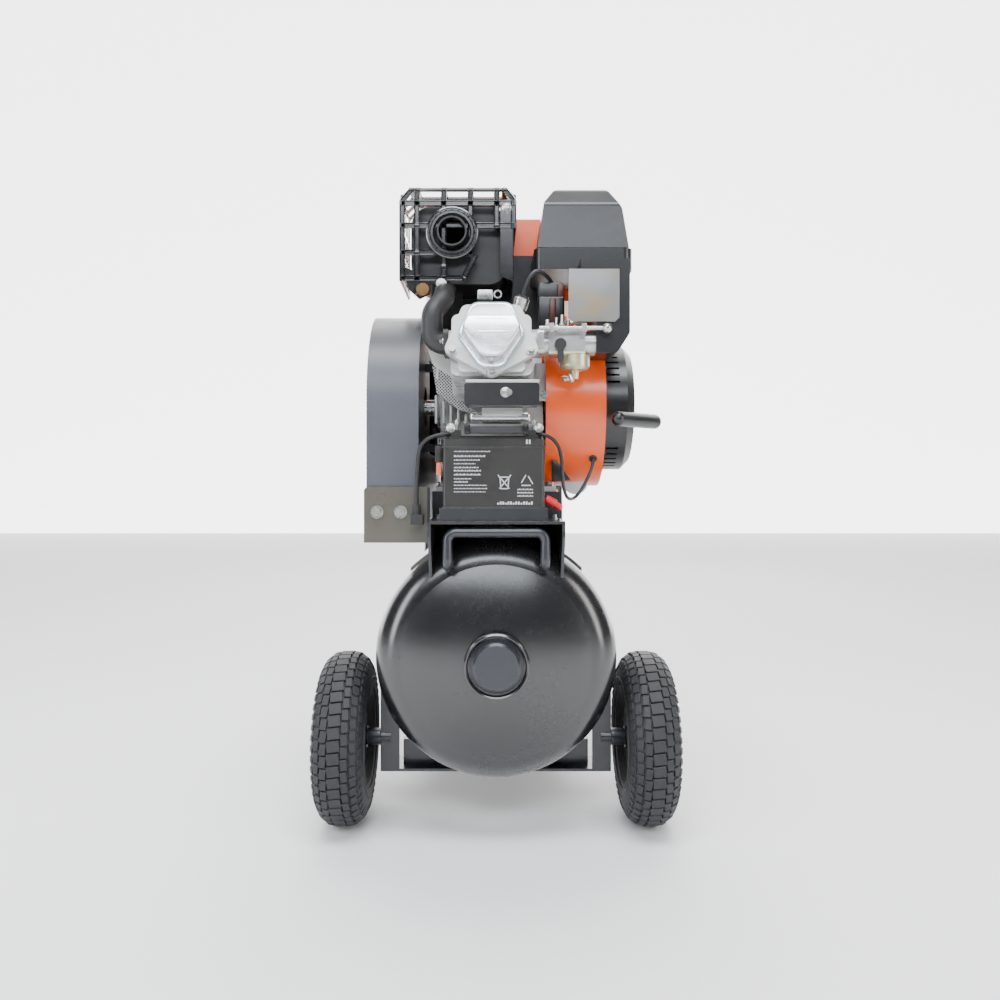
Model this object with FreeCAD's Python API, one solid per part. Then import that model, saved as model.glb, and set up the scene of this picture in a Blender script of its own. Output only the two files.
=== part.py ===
"""Wheeled petrol air compressor: a horizontal air receiver on two pneumatic wheels and two rubber
feet, with an electric-start single-cylinder engine that drives a twin-cylinder pump by V belts.

Millimetres, +Z up, X across the machine, +Y from the wheel end to the handle end. Pieces are drawn
with Y counted from the wheel axle; save() moves them so that Y is counted from the machine's middle.
"""
import FreeCAD
import Part
import math
import os
from FreeCAD import Vector

os.makedirs("parts", exist_ok=True)

# ---------------------------------------------------------------- driving dimensions
wheel_d = 260.0
tyre_w = 78.0
tyre_gap = 16.0             # tyre wall to tank wall
rim_seat_r = 52.0           # tyre bead on the rim
hub_r = 16.0
hub_half = 31.0
stub_r = 8.0                # stub axle
running = 0.08              # radial clearance of every running fit
apart = 0.5                 # clearance between neighbouring pieces

tank_d = 350.0
tank_front = -144.0         # front head's crown, from the wheel axle
tank_len = 980.0            # over both heads
tank_wall = 3.0
head_depth = 60.0
axle_to_tank = 141.0        # tank axis above the wheel axle
plug_r = 41.0
plug_proud = 22.0

plate = 4.0                 # plate of the welded brackets
deck_w = 190.0
deck_rise = 64.0            # engine deck above the tank's top line
deck_start = -50.0
deck_end = 560.0
shelf_drop = 40.0           # battery shelf below the engine deck
shelf_len = 100.0
leg_proud = 3.0             # outer face of the axle legs beyond the tank wall
foot_span = 250.0           # between the rubber feet
foot_y = 640.0
foot_r = 22.0
foot_h = 28.0
handle_y = 880.0
handle_rise = 290.0         # push handle above the tank axis
handle_w = 330.0
tube_r = 14.0

crank_y = 45.0
crank_rise = 132.0          # engine crankshaft above the deck
case_half = 70.0            # half width of the engine crankcase
side_cover_t = 14.0
shaft_r = 12.7
pto_len = 88.0              # drive shaft outside the side cover
cylinder_x = -7.0
cylinder_lean = 20.0        # cylinder axis above the horizontal, degrees
deck_face = 82.0            # crank axis to the cylinder base
barrel_len = 68.0
head_len = 56.0
flange_t = 8.0
cover_len = 27.0
piston_r = 44.0
wall = 2.5                  # pressed and moulded covers
fan_r = 105.0
blower_r = 124.0
blower_x = 73.0
blower_w = 88.0
recoil_r = 98.0
recoil_w = 47.0

belt_centres = 380.0        # engine shaft to pump shaft
drive_pulley_r = 58.0
flywheel_r = 155.0
pulley_w = 44.0
belt_w = 12.0
belt_h = 9.0
guard_w = 75.0
guard_side = 187.0          # outer face of the guard from the middle plane
guard_front_r = 142.0
guard_rear_r = 172.0
guard_drop = 192.0          # engine shaft to the guard's lower edge

pump_rise = 118.0           # pump crankshaft above the deck
pump_bore_r = 32.0
pump_pitch = 104.0          # between the pump cylinders
pump_half = 105.0           # half width of the pump crankcase

battery_w = 142.0
battery_t = 80.0
battery_h = 110.0
battery_x = -4.0

lead_d = 6.0
red_lead_d = 5.0
plug_lead_d = 6.0

# ---------------------------------------------------------------- places worked out from them
nose = tank_front - plug_proud - 22.0          # lift handle and rocker cover stand in front of the plug
tail = handle_y + tube_r
shift_y = -(nose + tail) / 2
axle_z = wheel_d / 2
tank_r = tank_d / 2
tank_z = axle_z + axle_to_tank
tank_back = tank_front + tank_len
track = tank_d + tyre_w + 2 * tyre_gap   # between the wheels' middle planes
leg_x = tank_d / 2 + leg_proud
deck_z = tank_z + tank_r + deck_rise
shelf_z = deck_z - shelf_drop
shelf_start = deck_start - shelf_len
half = deck_w / 2
crank_z = deck_z + crank_rise
pump_y = crank_y + belt_centres
pump_z = deck_z + pump_rise
side_face = -case_half - side_cover_t
pulley_x = -(guard_side - guard_w / 2)         # belts' middle plane
shaft_end = side_face - pto_len
head_base = deck_face + barrel_len
flange_base = head_base + head_len
cover_base = flange_base + flange_t
recoil_x = blower_x + blower_w + apart
guard_in = -guard_side + guard_w               # inner face of the belt guard
battery_front = shelf_start + 8.0
battery_back = battery_front + battery_t
battery_z = shelf_z + plate


# ---------------------------------------------------------------- helpers
def box(x0, x1, y0, y1, z0, z1):
    """Block between two corners."""
    return Part.makeBox(x1 - x0, y1 - y0, z1 - z0, Vector(x0, y0, z0))


def rod(start, along, length, radius):
    """Cylinder from a point, along a direction."""
    return Part.makeCylinder(radius, length, Vector(*start), Vector(*along))


def ring(start, along, length, outer, inner):
    """Round sleeve from a point, along a direction."""
    return rod(start, along, length, outer).cut(rod(start, along, length, inner))


def hexagon(start, along, length, across):
    """Hexagonal prism, such as a bolt head."""
    points = [Vector(across / math.sqrt(3) * math.cos(math.radians(60 * k)),
                     across / math.sqrt(3) * math.sin(math.radians(60 * k)), 0) for k in range(7)]
    prism = Part.Face(Part.makePolygon(points)).extrude(Vector(0, 0, length))
    prism.Placement = FreeCAD.Placement(Vector(*start), FreeCAD.Rotation(Vector(0, 0, 1), Vector(*along)))
    return prism


def bolt(start, along, across=10.0, head=6.0, washer=1.5):
    """Hexagon bolt head on its washer, seated on a face."""
    tip = Vector(*start) + Vector(*along).normalize() * washer
    return rod(start, along, washer, across * 0.85).fuse(hexagon(tuple(tip), along, head, across))


def turned(profile, centre, along):
    """Solid of revolution. The profile is a closed list of (distance along the axis, radius)."""
    face = Part.Face(Part.makePolygon([Vector(r, 0, a) for a, r in profile + profile[:1]]))
    solid = face.revolve(Vector(0, 0, 0), Vector(0, 0, 1), 360)
    solid.Placement = FreeCAD.Placement(Vector(*centre), FreeCAD.Rotation(Vector(0, 0, 1), Vector(*along)))
    return solid


def rounded_outline(points, radii):
    """Closed wire through the points with each corner rounded; radius 0 keeps a corner sharp."""
    count = len(points)
    ends = []
    for k, (point, radius) in enumerate(zip(points, radii)):
        before = (points[k - 1] - point).normalize()
        after = (points[(k + 1) % count] - point).normalize()
        if radius == 0:
            ends.append((point, None, point))
            continue
        bend = before.getAngle(after) / 2
        reach = radius / math.tan(bend)
        middle = (before + after).normalize()
        apex = point + middle * (radius / math.sin(bend) - radius)
        ends.append((point + before * reach, apex, point + after * reach))
    edges = []
    for k, (first, apex, last) in enumerate(ends):
        if apex is not None:
            edges.append(Part.Arc(first, apex, last).toShape())
        following = ends[(k + 1) % count][0]
        if last.distanceToPoint(following) > 1e-6:
            edges.append(Part.LineSegment(last, following).toShape())
    return Part.Wire(edges)


def slab(points, radii, axis, low, high):
    """Plate with a rounded outline. Axis "x" takes (y, z) points, "y" takes (x, z), "z" takes (x, y)."""
    place = {"x": lambda a, b: Vector(low, a, b),
             "y": lambda a, b: Vector(a, low, b),
             "z": lambda a, b: Vector(a, b, low)}[axis]
    push = {"x": Vector(high - low, 0, 0), "y": Vector(0, high - low, 0), "z": Vector(0, 0, high - low)}[axis]
    if not isinstance(radii, (list, tuple)):
        radii = [radii] * len(points)
    return Part.Face(rounded_outline([place(a, b) for a, b in points], radii)).extrude(push)


def rectangle(a0, a1, b0, b1):
    """Corner points of an upright rectangle, in order."""
    return [(a0, b0), (a1, b0), (a1, b1), (a0, b1)]


def rounded_path(points, bend=None):
    """Straight runs joined by tangent arcs. Without a bend radius each arc takes 0.45 of its shorter run."""
    points = [Vector(*p) for p in points]
    edges = []
    radii = []
    start = points[0]
    for before, corner, after in zip(points, points[1:], points[2:]):
        back, onward = (before - corner).normalize(), (after - corner).normalize()
        opening = back.getAngle(onward) / 2
        shorter = min(before.distanceToPoint(corner), after.distanceToPoint(corner))
        radius = bend if bend else 0.45 * shorter * math.tan(opening)
        reach = radius / math.tan(opening)
        first, last = corner + back * reach, corner + onward * reach
        apex = corner + (back + onward).normalize() * (radius / math.sin(opening) - radius)
        if start.distanceToPoint(first) > 1e-6:
            edges.append(Part.LineSegment(start, first).toShape())
        edges.append(Part.Arc(first, apex, last).toShape())
        radii.append(radius)
        start = last
    edges.append(Part.LineSegment(start, points[-1]).toShape())
    return Part.Wire(edges), radii


def pipe(points, radius, bend=None, inner=0.0):
    """Round bar or tube along a path."""
    path = rounded_path(points, bend)[0]
    away = (Vector(*points[1]) - Vector(*points[0])).normalize()

    def sweep(r):
        circle = Part.Wire(Part.Circle(Vector(*points[0]), away, r).toShape())
        return path.makePipeShell([circle], True, False)

    return sweep(radius).cut(sweep(inner)) if inner else sweep(radius)


def cord(name, points, diameter):
    """Flexible lead as a plain round solid. Prints its length and bends and checks its volume."""
    solid = pipe(points, diameter / 2)
    path, radii = rounded_path(points)
    expected = math.pi * diameter ** 2 / 4 * path.Length
    print(f"{name}: length {path.Length:.0f}, bend radii {[round(r) for r in radii]}, "
          f"volume over section times length {solid.Volume / expected:.3f}")
    return solid


def tilt(shape):
    """Moves a shape from the cylinder's own frame (+Z along the bore) to the machine."""
    moved = shape.copy()
    moved.rotate(Vector(0, 0, 0), Vector(1, 0, 0), 90.0 - cylinder_lean)
    moved.translate(Vector(0, crank_y, crank_z))
    return moved


def tilted_point(x, y, z):
    """A point of the cylinder's own frame, in the machine's frame."""
    turn = math.radians(90.0 - cylinder_lean)
    return (x, crank_y + y * math.cos(turn) - z * math.sin(turn),
            crank_z + y * math.sin(turn) + z * math.cos(turn))


def mirrored(shape):
    """The same shape on the other side of the middle plane."""
    return shape.mirror(Vector(0, 0, 0), Vector(1, 0, 0))


def save(name, *shapes):
    """Writes one node made of one or more separate solids."""
    solids = [solid for shape in shapes for solid in shape.Solids]
    node = Part.makeCompound(solids)
    node.translate(Vector(0, shift_y, 0))
    node.exportStep(f"parts/{name}.step")


def around(shape, centre, axis, count, start=0.0, step=None):
    """Copies of a shape turned about an axis."""
    step = 360.0 / count if step is None else step
    copies = []
    for k in range(count):
        turn = shape.copy()
        turn.rotate(Vector(*centre), Vector(*axis), start + k * step)
        copies.append(turn)
    return copies


# ---------------------------------------------------------------- air receiver
def receiver(radius, depth, reach):
    """Solid of the receiver's outside or inside: flat-crowned heads with rounded shoulders."""
    edges = []
    for end, inward in ((tank_back - reach, -1), (tank_front + reach, 1)):
        crown = Vector(0, end, 0)
        bulge = Vector(0, end + inward * depth * 0.10, radius * 0.42)
        shoulder = Vector(0, end + inward * depth * 0.38, radius * 0.78)
        knuckle = Vector(0, end + inward * depth * 0.62, radius * 0.94)
        rim = Vector(0, end + inward * depth, radius)
        arcs = [Part.Arc(crown, bulge, shoulder).toShape(), Part.Arc(shoulder, knuckle, rim).toShape()]
        edges += arcs if inward < 0 else arcs[::-1]
        if inward < 0:
            edges.append(Part.LineSegment(rim, Vector(0, tank_front + reach + depth, radius)).toShape())
    edges.append(Part.LineSegment(Vector(0, tank_front + reach, 0),
                                  Vector(0, tank_back - reach, 0)).toShape())
    solid = Part.Face(Part.Wire(Part.__sortEdges__(edges))).revolve(Vector(0, 0, 0), Vector(0, 1, 0), 360)
    solid.translate(Vector(0, 0, tank_z))
    return solid


tank_outer = receiver(tank_r, head_depth, 0.0)
tank_inner = receiver(tank_r - tank_wall, head_depth, tank_wall)
boss_r = 14.0
outlet_y = 650.0                       # manifold socket on the tank's top
check_y = 600.0                        # check valve socket on the tank's side
drain_y = 300.0
check_turn = math.radians(24.0)        # from the top towards +X
check_dir = Vector(math.sin(check_turn), 0, math.cos(check_turn))
tank_bottom = tank_z - tank_r
socket_top = tank_z + tank_r + 10.0
front_socket = rod((0, tank_front + 10, tank_z), (0, -1, 0), 16, plug_r - 9)
back_socket = rod((0, tank_back - 10, tank_z), (0, 1, 0), 16, plug_r - 9)

top_socket = rod((0, outlet_y, tank_z + tank_r - 6), (0, 0, 1), 16, boss_r)
side_socket = rod(tuple(Vector(0, check_y, tank_z) + check_dir * (tank_r - 6)), tuple(check_dir), 16, boss_r)
low_socket = rod((0, drain_y, tank_bottom + 6), (0, 0, -1), 14, boss_r)
shell = tank_outer.fuse([top_socket, side_socket, low_socket, front_socket, back_socket]).cut(tank_inner)
shell = shell.cut([rod((0, outlet_y, tank_z), (0, 0, 1), tank_d, 7.0),
                   rod((0, check_y, tank_z), tuple(check_dir), tank_d, 7.0),
                   rod((0, drain_y, tank_z), (0, 0, -1), tank_d, 5.0)])
save("tank_shell", shell)

plug_profile = [(0, plug_r - 12), (0, plug_r), (6, plug_r), (9, plug_r - 3), (10, plug_r - 8),
                (plug_proud - 3, plug_r - 8), (plug_proud, plug_r - 11), (plug_proud, 0), (0, 0)]
filled = tank_outer.fuse([front_socket, back_socket])
save("inspection_plugs",
     turned(plug_profile, (0, tank_front + 1, tank_z), (0, -1, 0)).cut(filled),
     turned(plug_profile, (0, tank_back - 1, tank_z), (0, 1, 0)).cut(filled))

# ---------------------------------------------------------------- welded chassis
deck = box(-half, half, deck_start, deck_end, deck_z - plate, deck_z)
deck = deck.cut([box(-half + 35, half - 35, y, y + 90, deck_z - 50, deck_z + 1) for y in (-10, 190)])
shelf_side = [(shelf_start, shelf_z), (shelf_start, shelf_z - 22), (shelf_start + 42, tank_z + 100),
              (deck_start, tank_z + 100), (deck_start, shelf_z)]
sides = [box(half - plate, half, deck_start, deck_end, tank_z + 100, deck_z),
         slab(shelf_side, 0, "x", half - plate, half)]
sides += [mirrored(side) for side in sides]
rear_web = box(-half, half, deck_end - plate, deck_end, tank_z + 100, deck_z)
clamp_y = battery_back + 5.0
clamp_rods = [rod((battery_x + x, clamp_y, battery_z), (0, 0, 1), battery_h + 16, 3.0) for x in (-61, 62)]
step = box(-half, half, deck_start - plate, deck_start, shelf_z - plate, deck_z)
shelf = box(-half, half, shelf_start, deck_start, shelf_z - plate, shelf_z)
lip = box(battery_x - battery_w / 2 - plate, battery_x + battery_w / 2 + plate, battery_front - plate,
          battery_back + plate, shelf_z, battery_z + 14)
tray = lip.cut(box(battery_x - battery_w / 2 - 0.4, battery_x + battery_w / 2 + 0.4, battery_front - 0.4,
                   battery_back + 0.4, battery_z, battery_z + 40))
front_z = crank_z - 125.0              # upper edge of the guard's front bracket
bracket_low = front_z - 80.0


def guard_bracket(front, back):
    """Outrigger that carries the belt guard, welded to the side of the deck."""
    face = slab(rectangle(-guard_side - 3, -half, bracket_low, front_z), [6, 0, 0, 6], "y", front,
                front + plate)
    floor = box(-guard_side - 3, -half, front, back, bracket_low, bracket_low + plate)
    return [face, floor]


bracket_front = crank_y - guard_front_r - apart - plate
strap_out = rod((0, shelf_start + 30, tank_z), (0, 1, 0), deck_end - shelf_start - 60, tank_r + plate)
strap = strap_out.cut(rod((0, -400, tank_z), (0, 1, 0), 1400, tank_r))
strap = strap.common(box(half, half + 30, shelf_start + 72, deck_end, tank_z, deck_z))
platform = deck.fuse(sides + [rear_web, step, shelf, tray, strap, mirrored(strap)]
                     + guard_bracket(bracket_front, crank_y - 40))
save("engine_platform", platform.removeSplitter().cut([tank_outer] + clamp_rods))

leg_low = axle_z - 53.0
leg = box(leg_x - 29, leg_x, -plate, 0, leg_low, tank_z - 20)
leg_web = slab([(0, leg_low), (60, leg_low), (60, axle_z + 30), (24, tank_z - 20), (0, tank_z - 20)],
               0, "x", leg_x - plate, leg_x)
leg_base = box(-leg_x, leg_x, -plate, 60, leg_low, leg_low + plate)
stub = rod((leg_x - 16, 0, axle_z), (1, 0, 0), track / 2 + hub_half + 10 - (leg_x - 16), stub_r)
stub_collar = rod((leg_x, 0, axle_z), (1, 0, 0), track / 2 - hub_half - 1.0 - leg_x, stub_r + 5)
stub_nut = hexagon((track / 2 + hub_half + 1.0, 0, axle_z), (1, 0, 0), 8, 24)
axle_half = [leg, leg_web, stub, stub_collar, stub_nut]
axle_block = box(leg_x - 18, leg_x - plate, -plate, 14, axle_z - 14, axle_z + 14)
axle_half.append(axle_block)
frame = leg_base.fuse(axle_half + [mirrored(piece) for piece in axle_half])
save("axle_frame", frame.removeSplitter().cut(tank_outer))

saddle_top = axle_z - 10.0
wheel_saddle = box(-leg_x + 33, leg_x - 33, 20, 20 + plate, leg_low + plate, saddle_top)
wheel_flange = box(-leg_x + 33, leg_x - 33, 20, 50, leg_low + plate, leg_low + 2 * plate)
top_flange = box(-leg_x + 33, leg_x - 33, 20, 34, saddle_top - plate, saddle_top)
foot_saddle = box(-foot_span / 2 - 28, foot_span / 2 + 28, foot_y - plate / 2, foot_y + plate / 2, foot_h,
                  tank_z - 90)
foot_flange = box(-foot_span / 2 - 28, foot_span / 2 + 28, foot_y - 26, foot_y + 26, foot_h, foot_h + plate)
saddles = [wheel_saddle.fuse([wheel_flange, top_flange]).cut(tank_outer),
           foot_saddle.fuse(foot_flange).cut(tank_outer)]
save("tank_saddles", *saddles)

foot_profile = [(0, 0), (0, foot_r - 3), (3, foot_r), (foot_h - 6, foot_r - 4), (foot_h, foot_r - 4),
                (foot_h, 0)]
save("rubber_feet", *[turned(foot_profile, (side * foot_span / 2, foot_y, 0), (0, 0, 1)) for side in (-1, 1)])

bar_r = 7.0
lift_x = 68.0
lift_y = tank_front + 2.0
lift_z = shelf_z - plate - 5.0 - bar_r
lift_low = lift_z - 48.0
lift_path = [(-lift_x, lift_y + 40, lift_low), (-lift_x, lift_y, lift_low), (-lift_x, lift_y, lift_z),
             (lift_x, lift_y, lift_z), (lift_x, lift_y, lift_low), (lift_x, lift_y + 40, lift_low)]
save("lift_handle", pipe(lift_path, bar_r, 12.0).cut(tank_outer))

post_y = tank_back - 110.0
handle_z = tank_z + handle_rise
bar_half = handle_w / 2 - tube_r
push_path = [(-bar_half, post_y, tank_z + 60), (-bar_half, post_y + 40, handle_z),
             (-bar_half, handle_y, handle_z),
             (bar_half, handle_y, handle_z), (bar_half, post_y + 40, handle_z),
             (bar_half, post_y, tank_z + 60)]
handle_tube = pipe(push_path, tube_r, 40.0, tube_r - 2.0)
pads = [box(-bar_half - 6, -bar_half + 60, post_y - 30, post_y + 30, tank_z + 56, tank_z + 56 + plate)]
pads += [mirrored(pad) for pad in pads]
save("push_handle", handle_tube.fuse(pads).cut(tank_outer))

# ---------------------------------------------------------------- wheels
wheel_mid = track / 2


def wheel(side):
    """Tyre and rim of one wheel, drawn on the +X side."""
    r, w = wheel_d / 2, tyre_w / 2
    outside = [(-18.5, rim_seat_r), (-19.5, rim_seat_r + 5.4), (-23, rim_seat_r + 5.4),
               (-w + 5, rim_seat_r + 17), (-w, r - 42), (-w, r - 34),
               (-w + 3, r - 17), (-w + 13, r - 5), (-10, r), (10, r), (w - 13, r - 5), (w - 3, r - 17),
               (w, r - 34),
               (w, r - 42), (w - 5, rim_seat_r + 17), (23, rim_seat_r + 5.4),
               (19.5, rim_seat_r + 5.4), (18.5, rim_seat_r)]
    inside = [(14, rim_seat_r), (15, rim_seat_r + 8), (w - 12, rim_seat_r + 22), (w - 8, r - 38),
              (w - 15, r - 18),
              (9, r - 12), (-9, r - 12), (-w + 15, r - 18), (-w + 8, r - 38), (-w + 12, rim_seat_r + 22),
              (-15, rim_seat_r + 8), (-14, rim_seat_r)]
    tyre = turned(outside + inside, (wheel_mid, 0, axle_z), (1, 0, 0))
    groove = box(wheel_mid - w + 8, wheel_mid - 4, -2.5, 2.5, axle_z + r - 3.5, axle_z + r + 3)
    other = box(wheel_mid + 4, wheel_mid + w - 8, -2.5, 2.5, axle_z + r - 3.5, axle_z + r + 3)
    grooves = around(groove, (wheel_mid, 0, axle_z), (1, 0, 0), 28)
    grooves += around(other, (wheel_mid, 0, axle_z), (1, 0, 0), 28, 180.0 / 28)
    tyre = tyre.cut(grooves)
    hub_bore = stub_r + running
    rim = turned([(-23, rim_seat_r + 5.4), (-19.5, rim_seat_r + 5.4), (-18.5, rim_seat_r), (18.5, rim_seat_r),
                  (19.5, rim_seat_r + 5.4), (23, rim_seat_r + 5.4), (23, rim_seat_r - 1),
                  (16, rim_seat_r - 3),
                  (4, rim_seat_r - 4), (4, hub_r), (hub_half, hub_r), (hub_half, hub_bore),
                  (-hub_half, hub_bore),
                  (-hub_half, hub_r), (1, hub_r), (1, rim_seat_r - 4), (-16, rim_seat_r - 3),
                  (-23, rim_seat_r - 1)], (wheel_mid, 0, axle_z), (1, 0, 0))
    window = rod((wheel_mid - 10, 34, axle_z), (1, 0, 0), 30, 8)
    rim = rim.cut(around(window, (wheel_mid, 0, axle_z), (1, 0, 0), 5))
    if side < 0:
        tyre, rim = mirrored(tyre), mirrored(rim)
    return tyre, rim


for name, side in (("left", -1), ("right", 1)):
    tyre, rim = wheel(side)
    save(f"tyre_{name}", tyre)
    save(f"rim_{name}", rim)

# ---------------------------------------------------------------- battery
b0, b1 = battery_x - battery_w / 2, battery_x + battery_w / 2
battery_top = battery_z + battery_h
case = slab(rectangle(b0, b1, battery_front, battery_back), 5, "z", battery_z, battery_top)
case = case.fuse(slab(rectangle(b0 + 8, b1 - 8, battery_front + 8, battery_back - 8), 4, "z", battery_top,
                      battery_top + 3))
terminals = [box(x - 7, x + 7, battery_front + 14, battery_front + 30, battery_top + 3, battery_top + 13)
             for x in (b0 + 18, b1 - 18)]
save("battery", case.fuse(terminals))
clamp_bar = box(battery_x - 69, battery_x + 70, battery_back - 22, clamp_y + 5, battery_top + 3,
                battery_top + 7)
save("battery_clamp", clamp_bar.fuse(clamp_rods))

# ---------------------------------------------------------------- engine castings
lean = math.radians(cylinder_lean)
along, up = (-math.cos(lean), math.sin(lean)), (math.sin(lean), math.cos(lean))


def case_point(a, b):
    """(y, z) of a point a along the cylinder axis and b square to it, from the crankshaft."""
    return (crank_y + along[0] * a + up[0] * b, crank_z + along[1] * a + up[1] * b)


case_outline = [(crank_y + 85, deck_z), (crank_y + 85, crank_z + 55), (crank_y + 45, crank_z + 92),
                case_point(deck_face, 62), case_point(deck_face, -60), (crank_y - 85, deck_z)]
crankcase = slab(case_outline, [5, 22, 20, 6, 6, 5], "x", -case_half, case_half)
crankcase = crankcase.fuse([box(-case_half - 20, case_half + 20, crank_y - 90, crank_y + 90, deck_z,
                                deck_z + 7),
                            rod((side_face, crank_y, crank_z), (1, 0, 0), side_cover_t, 82.0),
                            rod((side_face - 8, crank_y, crank_z), (1, 0, 0), 10, 30.0)])
ribs = [box(side_face + 4, -case_half + 1, crank_y - 3, crank_y + 3, crank_z + 30, crank_z + 88)]
crankcase = crankcase.fuse(around(ribs[0], (0, crank_y, crank_z), (1, 0, 0), 6))
crankcase = crankcase.cut([rod((-case_half + 10, crank_y, crank_z), (1, 0, 0), 2 * case_half - 20, 62.0),
                           tilt(rod((cylinder_x, 0, 20), (0, 0, 1), deck_face, piston_r + 4)),
                           rod((-200, crank_y, crank_z), (1, 0, 0), 400, shaft_r + running)])
filler = rod((2 - case_half, crank_y - 62, deck_z + 34), (-1, 0, 0), 16, 11)
save("engine_crankcase", crankcase.fuse(filler).removeSplitter())

fin_half = 56.0
fin_low, fin_high = -42.0, 54.0
fins = [slab(rectangle(cylinder_x - fin_half, cylinder_x + fin_half, fin_low, fin_high), 10, "z", z, z + 2.5)
        for z in [deck_face + 10 + 8 * k for k in range(7)]]
barrel = rod((cylinder_x, 0, deck_face), (0, 0, 1), barrel_len, piston_r + 7).common(
    box(-200, 200, fin_low - 4, 200, 0, 400)).fuse(fins + [
        slab(rectangle(cylinder_x - 50, cylinder_x + 50, -46, 54), 8, "z", deck_face, deck_face + 6)])
save("cylinder_barrel", tilt(barrel.cut(rod((cylinder_x, 0, deck_face - 1), (0, 0, 1), barrel_len + 2,
                                            piston_r - 0.5))))

head_fins = [slab(rectangle(cylinder_x - fin_half, cylinder_x + fin_half, fin_low, fin_high), 10, "z", z,
                  z + 2.5)
             for z in [head_base + 10 + 9 * k for k in range(5)]]
head = slab(rectangle(cylinder_x - 46, cylinder_x + 46, fin_low + 2, fin_high - 6), 8, "z", head_base,
            flange_base)
star = [(-40, 60), (40, 60), (66, -12), (0, -52), (-66, -12)]
flange = slab([(cylinder_x + x, y) for x, y in star], 10, "z", flange_base, cover_base)
port_y = 18.0
port_z = head_base + 28.0
ports = [rod((cylinder_x - 40, port_y, port_z), (-1, 0, 0), 20, 19),
         rod((cylinder_x + 40, port_y, port_z), (1, 0, 0), 24, 20)]
rocker_room = slab([(cylinder_x + x * 0.8, y * 0.8) for x, y in [(-25, 50), (25, 50), (42, 8), (14, -34),
                                                                 (-14, -34), (-42, 8)]],
                   6, "z", flange_base - 16, cover_base + 1)
head = head.fuse(head_fins + [flange] + ports)
head = head.cut([rocker_room, rod((cylinder_x, 0, head_base - 1), (0, 0, 1), 9, piston_r - 6),
                 rod((cylinder_x - 70, port_y, port_z), (1, 0, 0), 50, 11),
                 rod((cylinder_x + 20, port_y, port_z), (1, 0, 0), 60, 11)])
save("cylinder_head", tilt(head))

cover_shape = [(-25, 57), (25, 57), (44, 10), (14, -36), (-14, -36), (-44, 10)]


def cover_solid(shrink, top):
    """Rocker cover block: the skirt, then a slightly smaller crown."""
    foot = [(cylinder_x + x * shrink, y * shrink) for x, y in cover_shape]
    crown = [(cylinder_x + x * shrink * 0.9, y * shrink * 0.9) for x, y in cover_shape]
    low = rounded_outline([Vector(x, y, cover_base) for x, y in foot], [9] * 6)
    mid = rounded_outline([Vector(x, y, cover_base + top * 0.7) for x, y in foot], [9] * 6)
    high = rounded_outline([Vector(x, y, cover_base + top) for x, y in crown], [8] * 6)
    return Part.makeLoft([low, mid, high], True, True)


rocker = cover_solid(1.0, cover_len).cut(cover_solid(0.93, cover_len - 3))
save("rocker_cover", tilt(rocker))

port_left = tilted_point(cylinder_x - 60, port_y, port_z)
port_right = tilted_point(cylinder_x + 64, port_y, port_z)

# ---------------------------------------------------------------- exhaust
muffler_x0, muffler_x1 = -127.0, 18.0
muffler_y0, muffler_y1 = -46.0, 62.0
muffler_z0, muffler_z1 = crank_z + 178.0, crank_z + 294.0
pipe_x = port_left[0] - 24
exhaust_path = [port_left, (pipe_x, port_left[1], port_left[2]), (pipe_x, port_left[1], port_left[2] + 44),
                (pipe_x + 15, port_left[1] + 20, port_left[2] + 67), (pipe_x + 15, -10, muffler_z0 + 5)]
exhaust_r, exhaust_bend = 15.5, 19.0
exhaust = pipe(exhaust_path, exhaust_r, exhaust_bend, 11.0)
exhaust = exhaust.fuse(slab(rectangle(port_left[1] - 28, port_left[1] + 28, port_left[2] - 18,
                                      port_left[2] + 18), 8,
                            "x", port_left[0] - 7, port_left[0])
                       .cut(rod((port_left[0] - 20, port_left[1], port_left[2]), (1, 0, 0), 40, 11.0)))
muffler = slab(rectangle(muffler_x0, muffler_x1, muffler_z0, muffler_z1), 30, "y", muffler_y0, muffler_y1)
muffler = muffler.cut(slab(rectangle(muffler_x0 + 2, muffler_x1 - 2, muffler_z0 + 2, muffler_z1 - 2), 28, "y",
                           muffler_y0 + 2, muffler_y1 - 2))
outlet_x, outlet_z = -65.0, crank_z + 250.0
muffler = muffler.fuse(rod((outlet_x, muffler_y0 - 30, outlet_z), (0, 1, 0), 34, 22))
muffler = muffler.cut([rod((outlet_x, muffler_y0 - 31, outlet_z), (0, 1, 0), 36, 19.5),
                       pipe(exhaust_path, exhaust_r, exhaust_bend)])
stays = [box(x - 8, x + 8, muffler_y1 - 40, muffler_y1 - 36, crank_z + 60, muffler_z0 + 2) for x in (-60, 0)]
shield = box(guard_in + 6, blower_x - 4, muffler_y1 - 1, muffler_y1 + 2, crank_z + 98, muffler_z0 + 70)
stays.append(shield)
save("exhaust_pipe", exhaust)
save("muffler_body", muffler.fuse(stays).cut(crankcase).cut(exhaust))

cage_x0, cage_x1 = -143.0, 30.0
cage_y0, cage_y1 = -66.0, 72.0
cage_top = crank_z + 322.0
cage_shoulder = crank_z + 300.0
strip, thick = 7.0, 2.5


def cage_strip(x, low):
    """Upright strip that bends over the top of the muffler."""
    outer = [(cage_y0, low), (cage_y0, cage_shoulder), (cage_y0 + 18, cage_top), (cage_y1, cage_top)]
    inner = [(cage_y1, cage_top - thick), (cage_y0 + 19, cage_top - thick),
             (cage_y0 + thick, cage_shoulder - 1),
             (cage_y0 + thick, low)]
    return slab(outer + inner, 0, "x", x - strip / 2, x + strip / 2)


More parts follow.
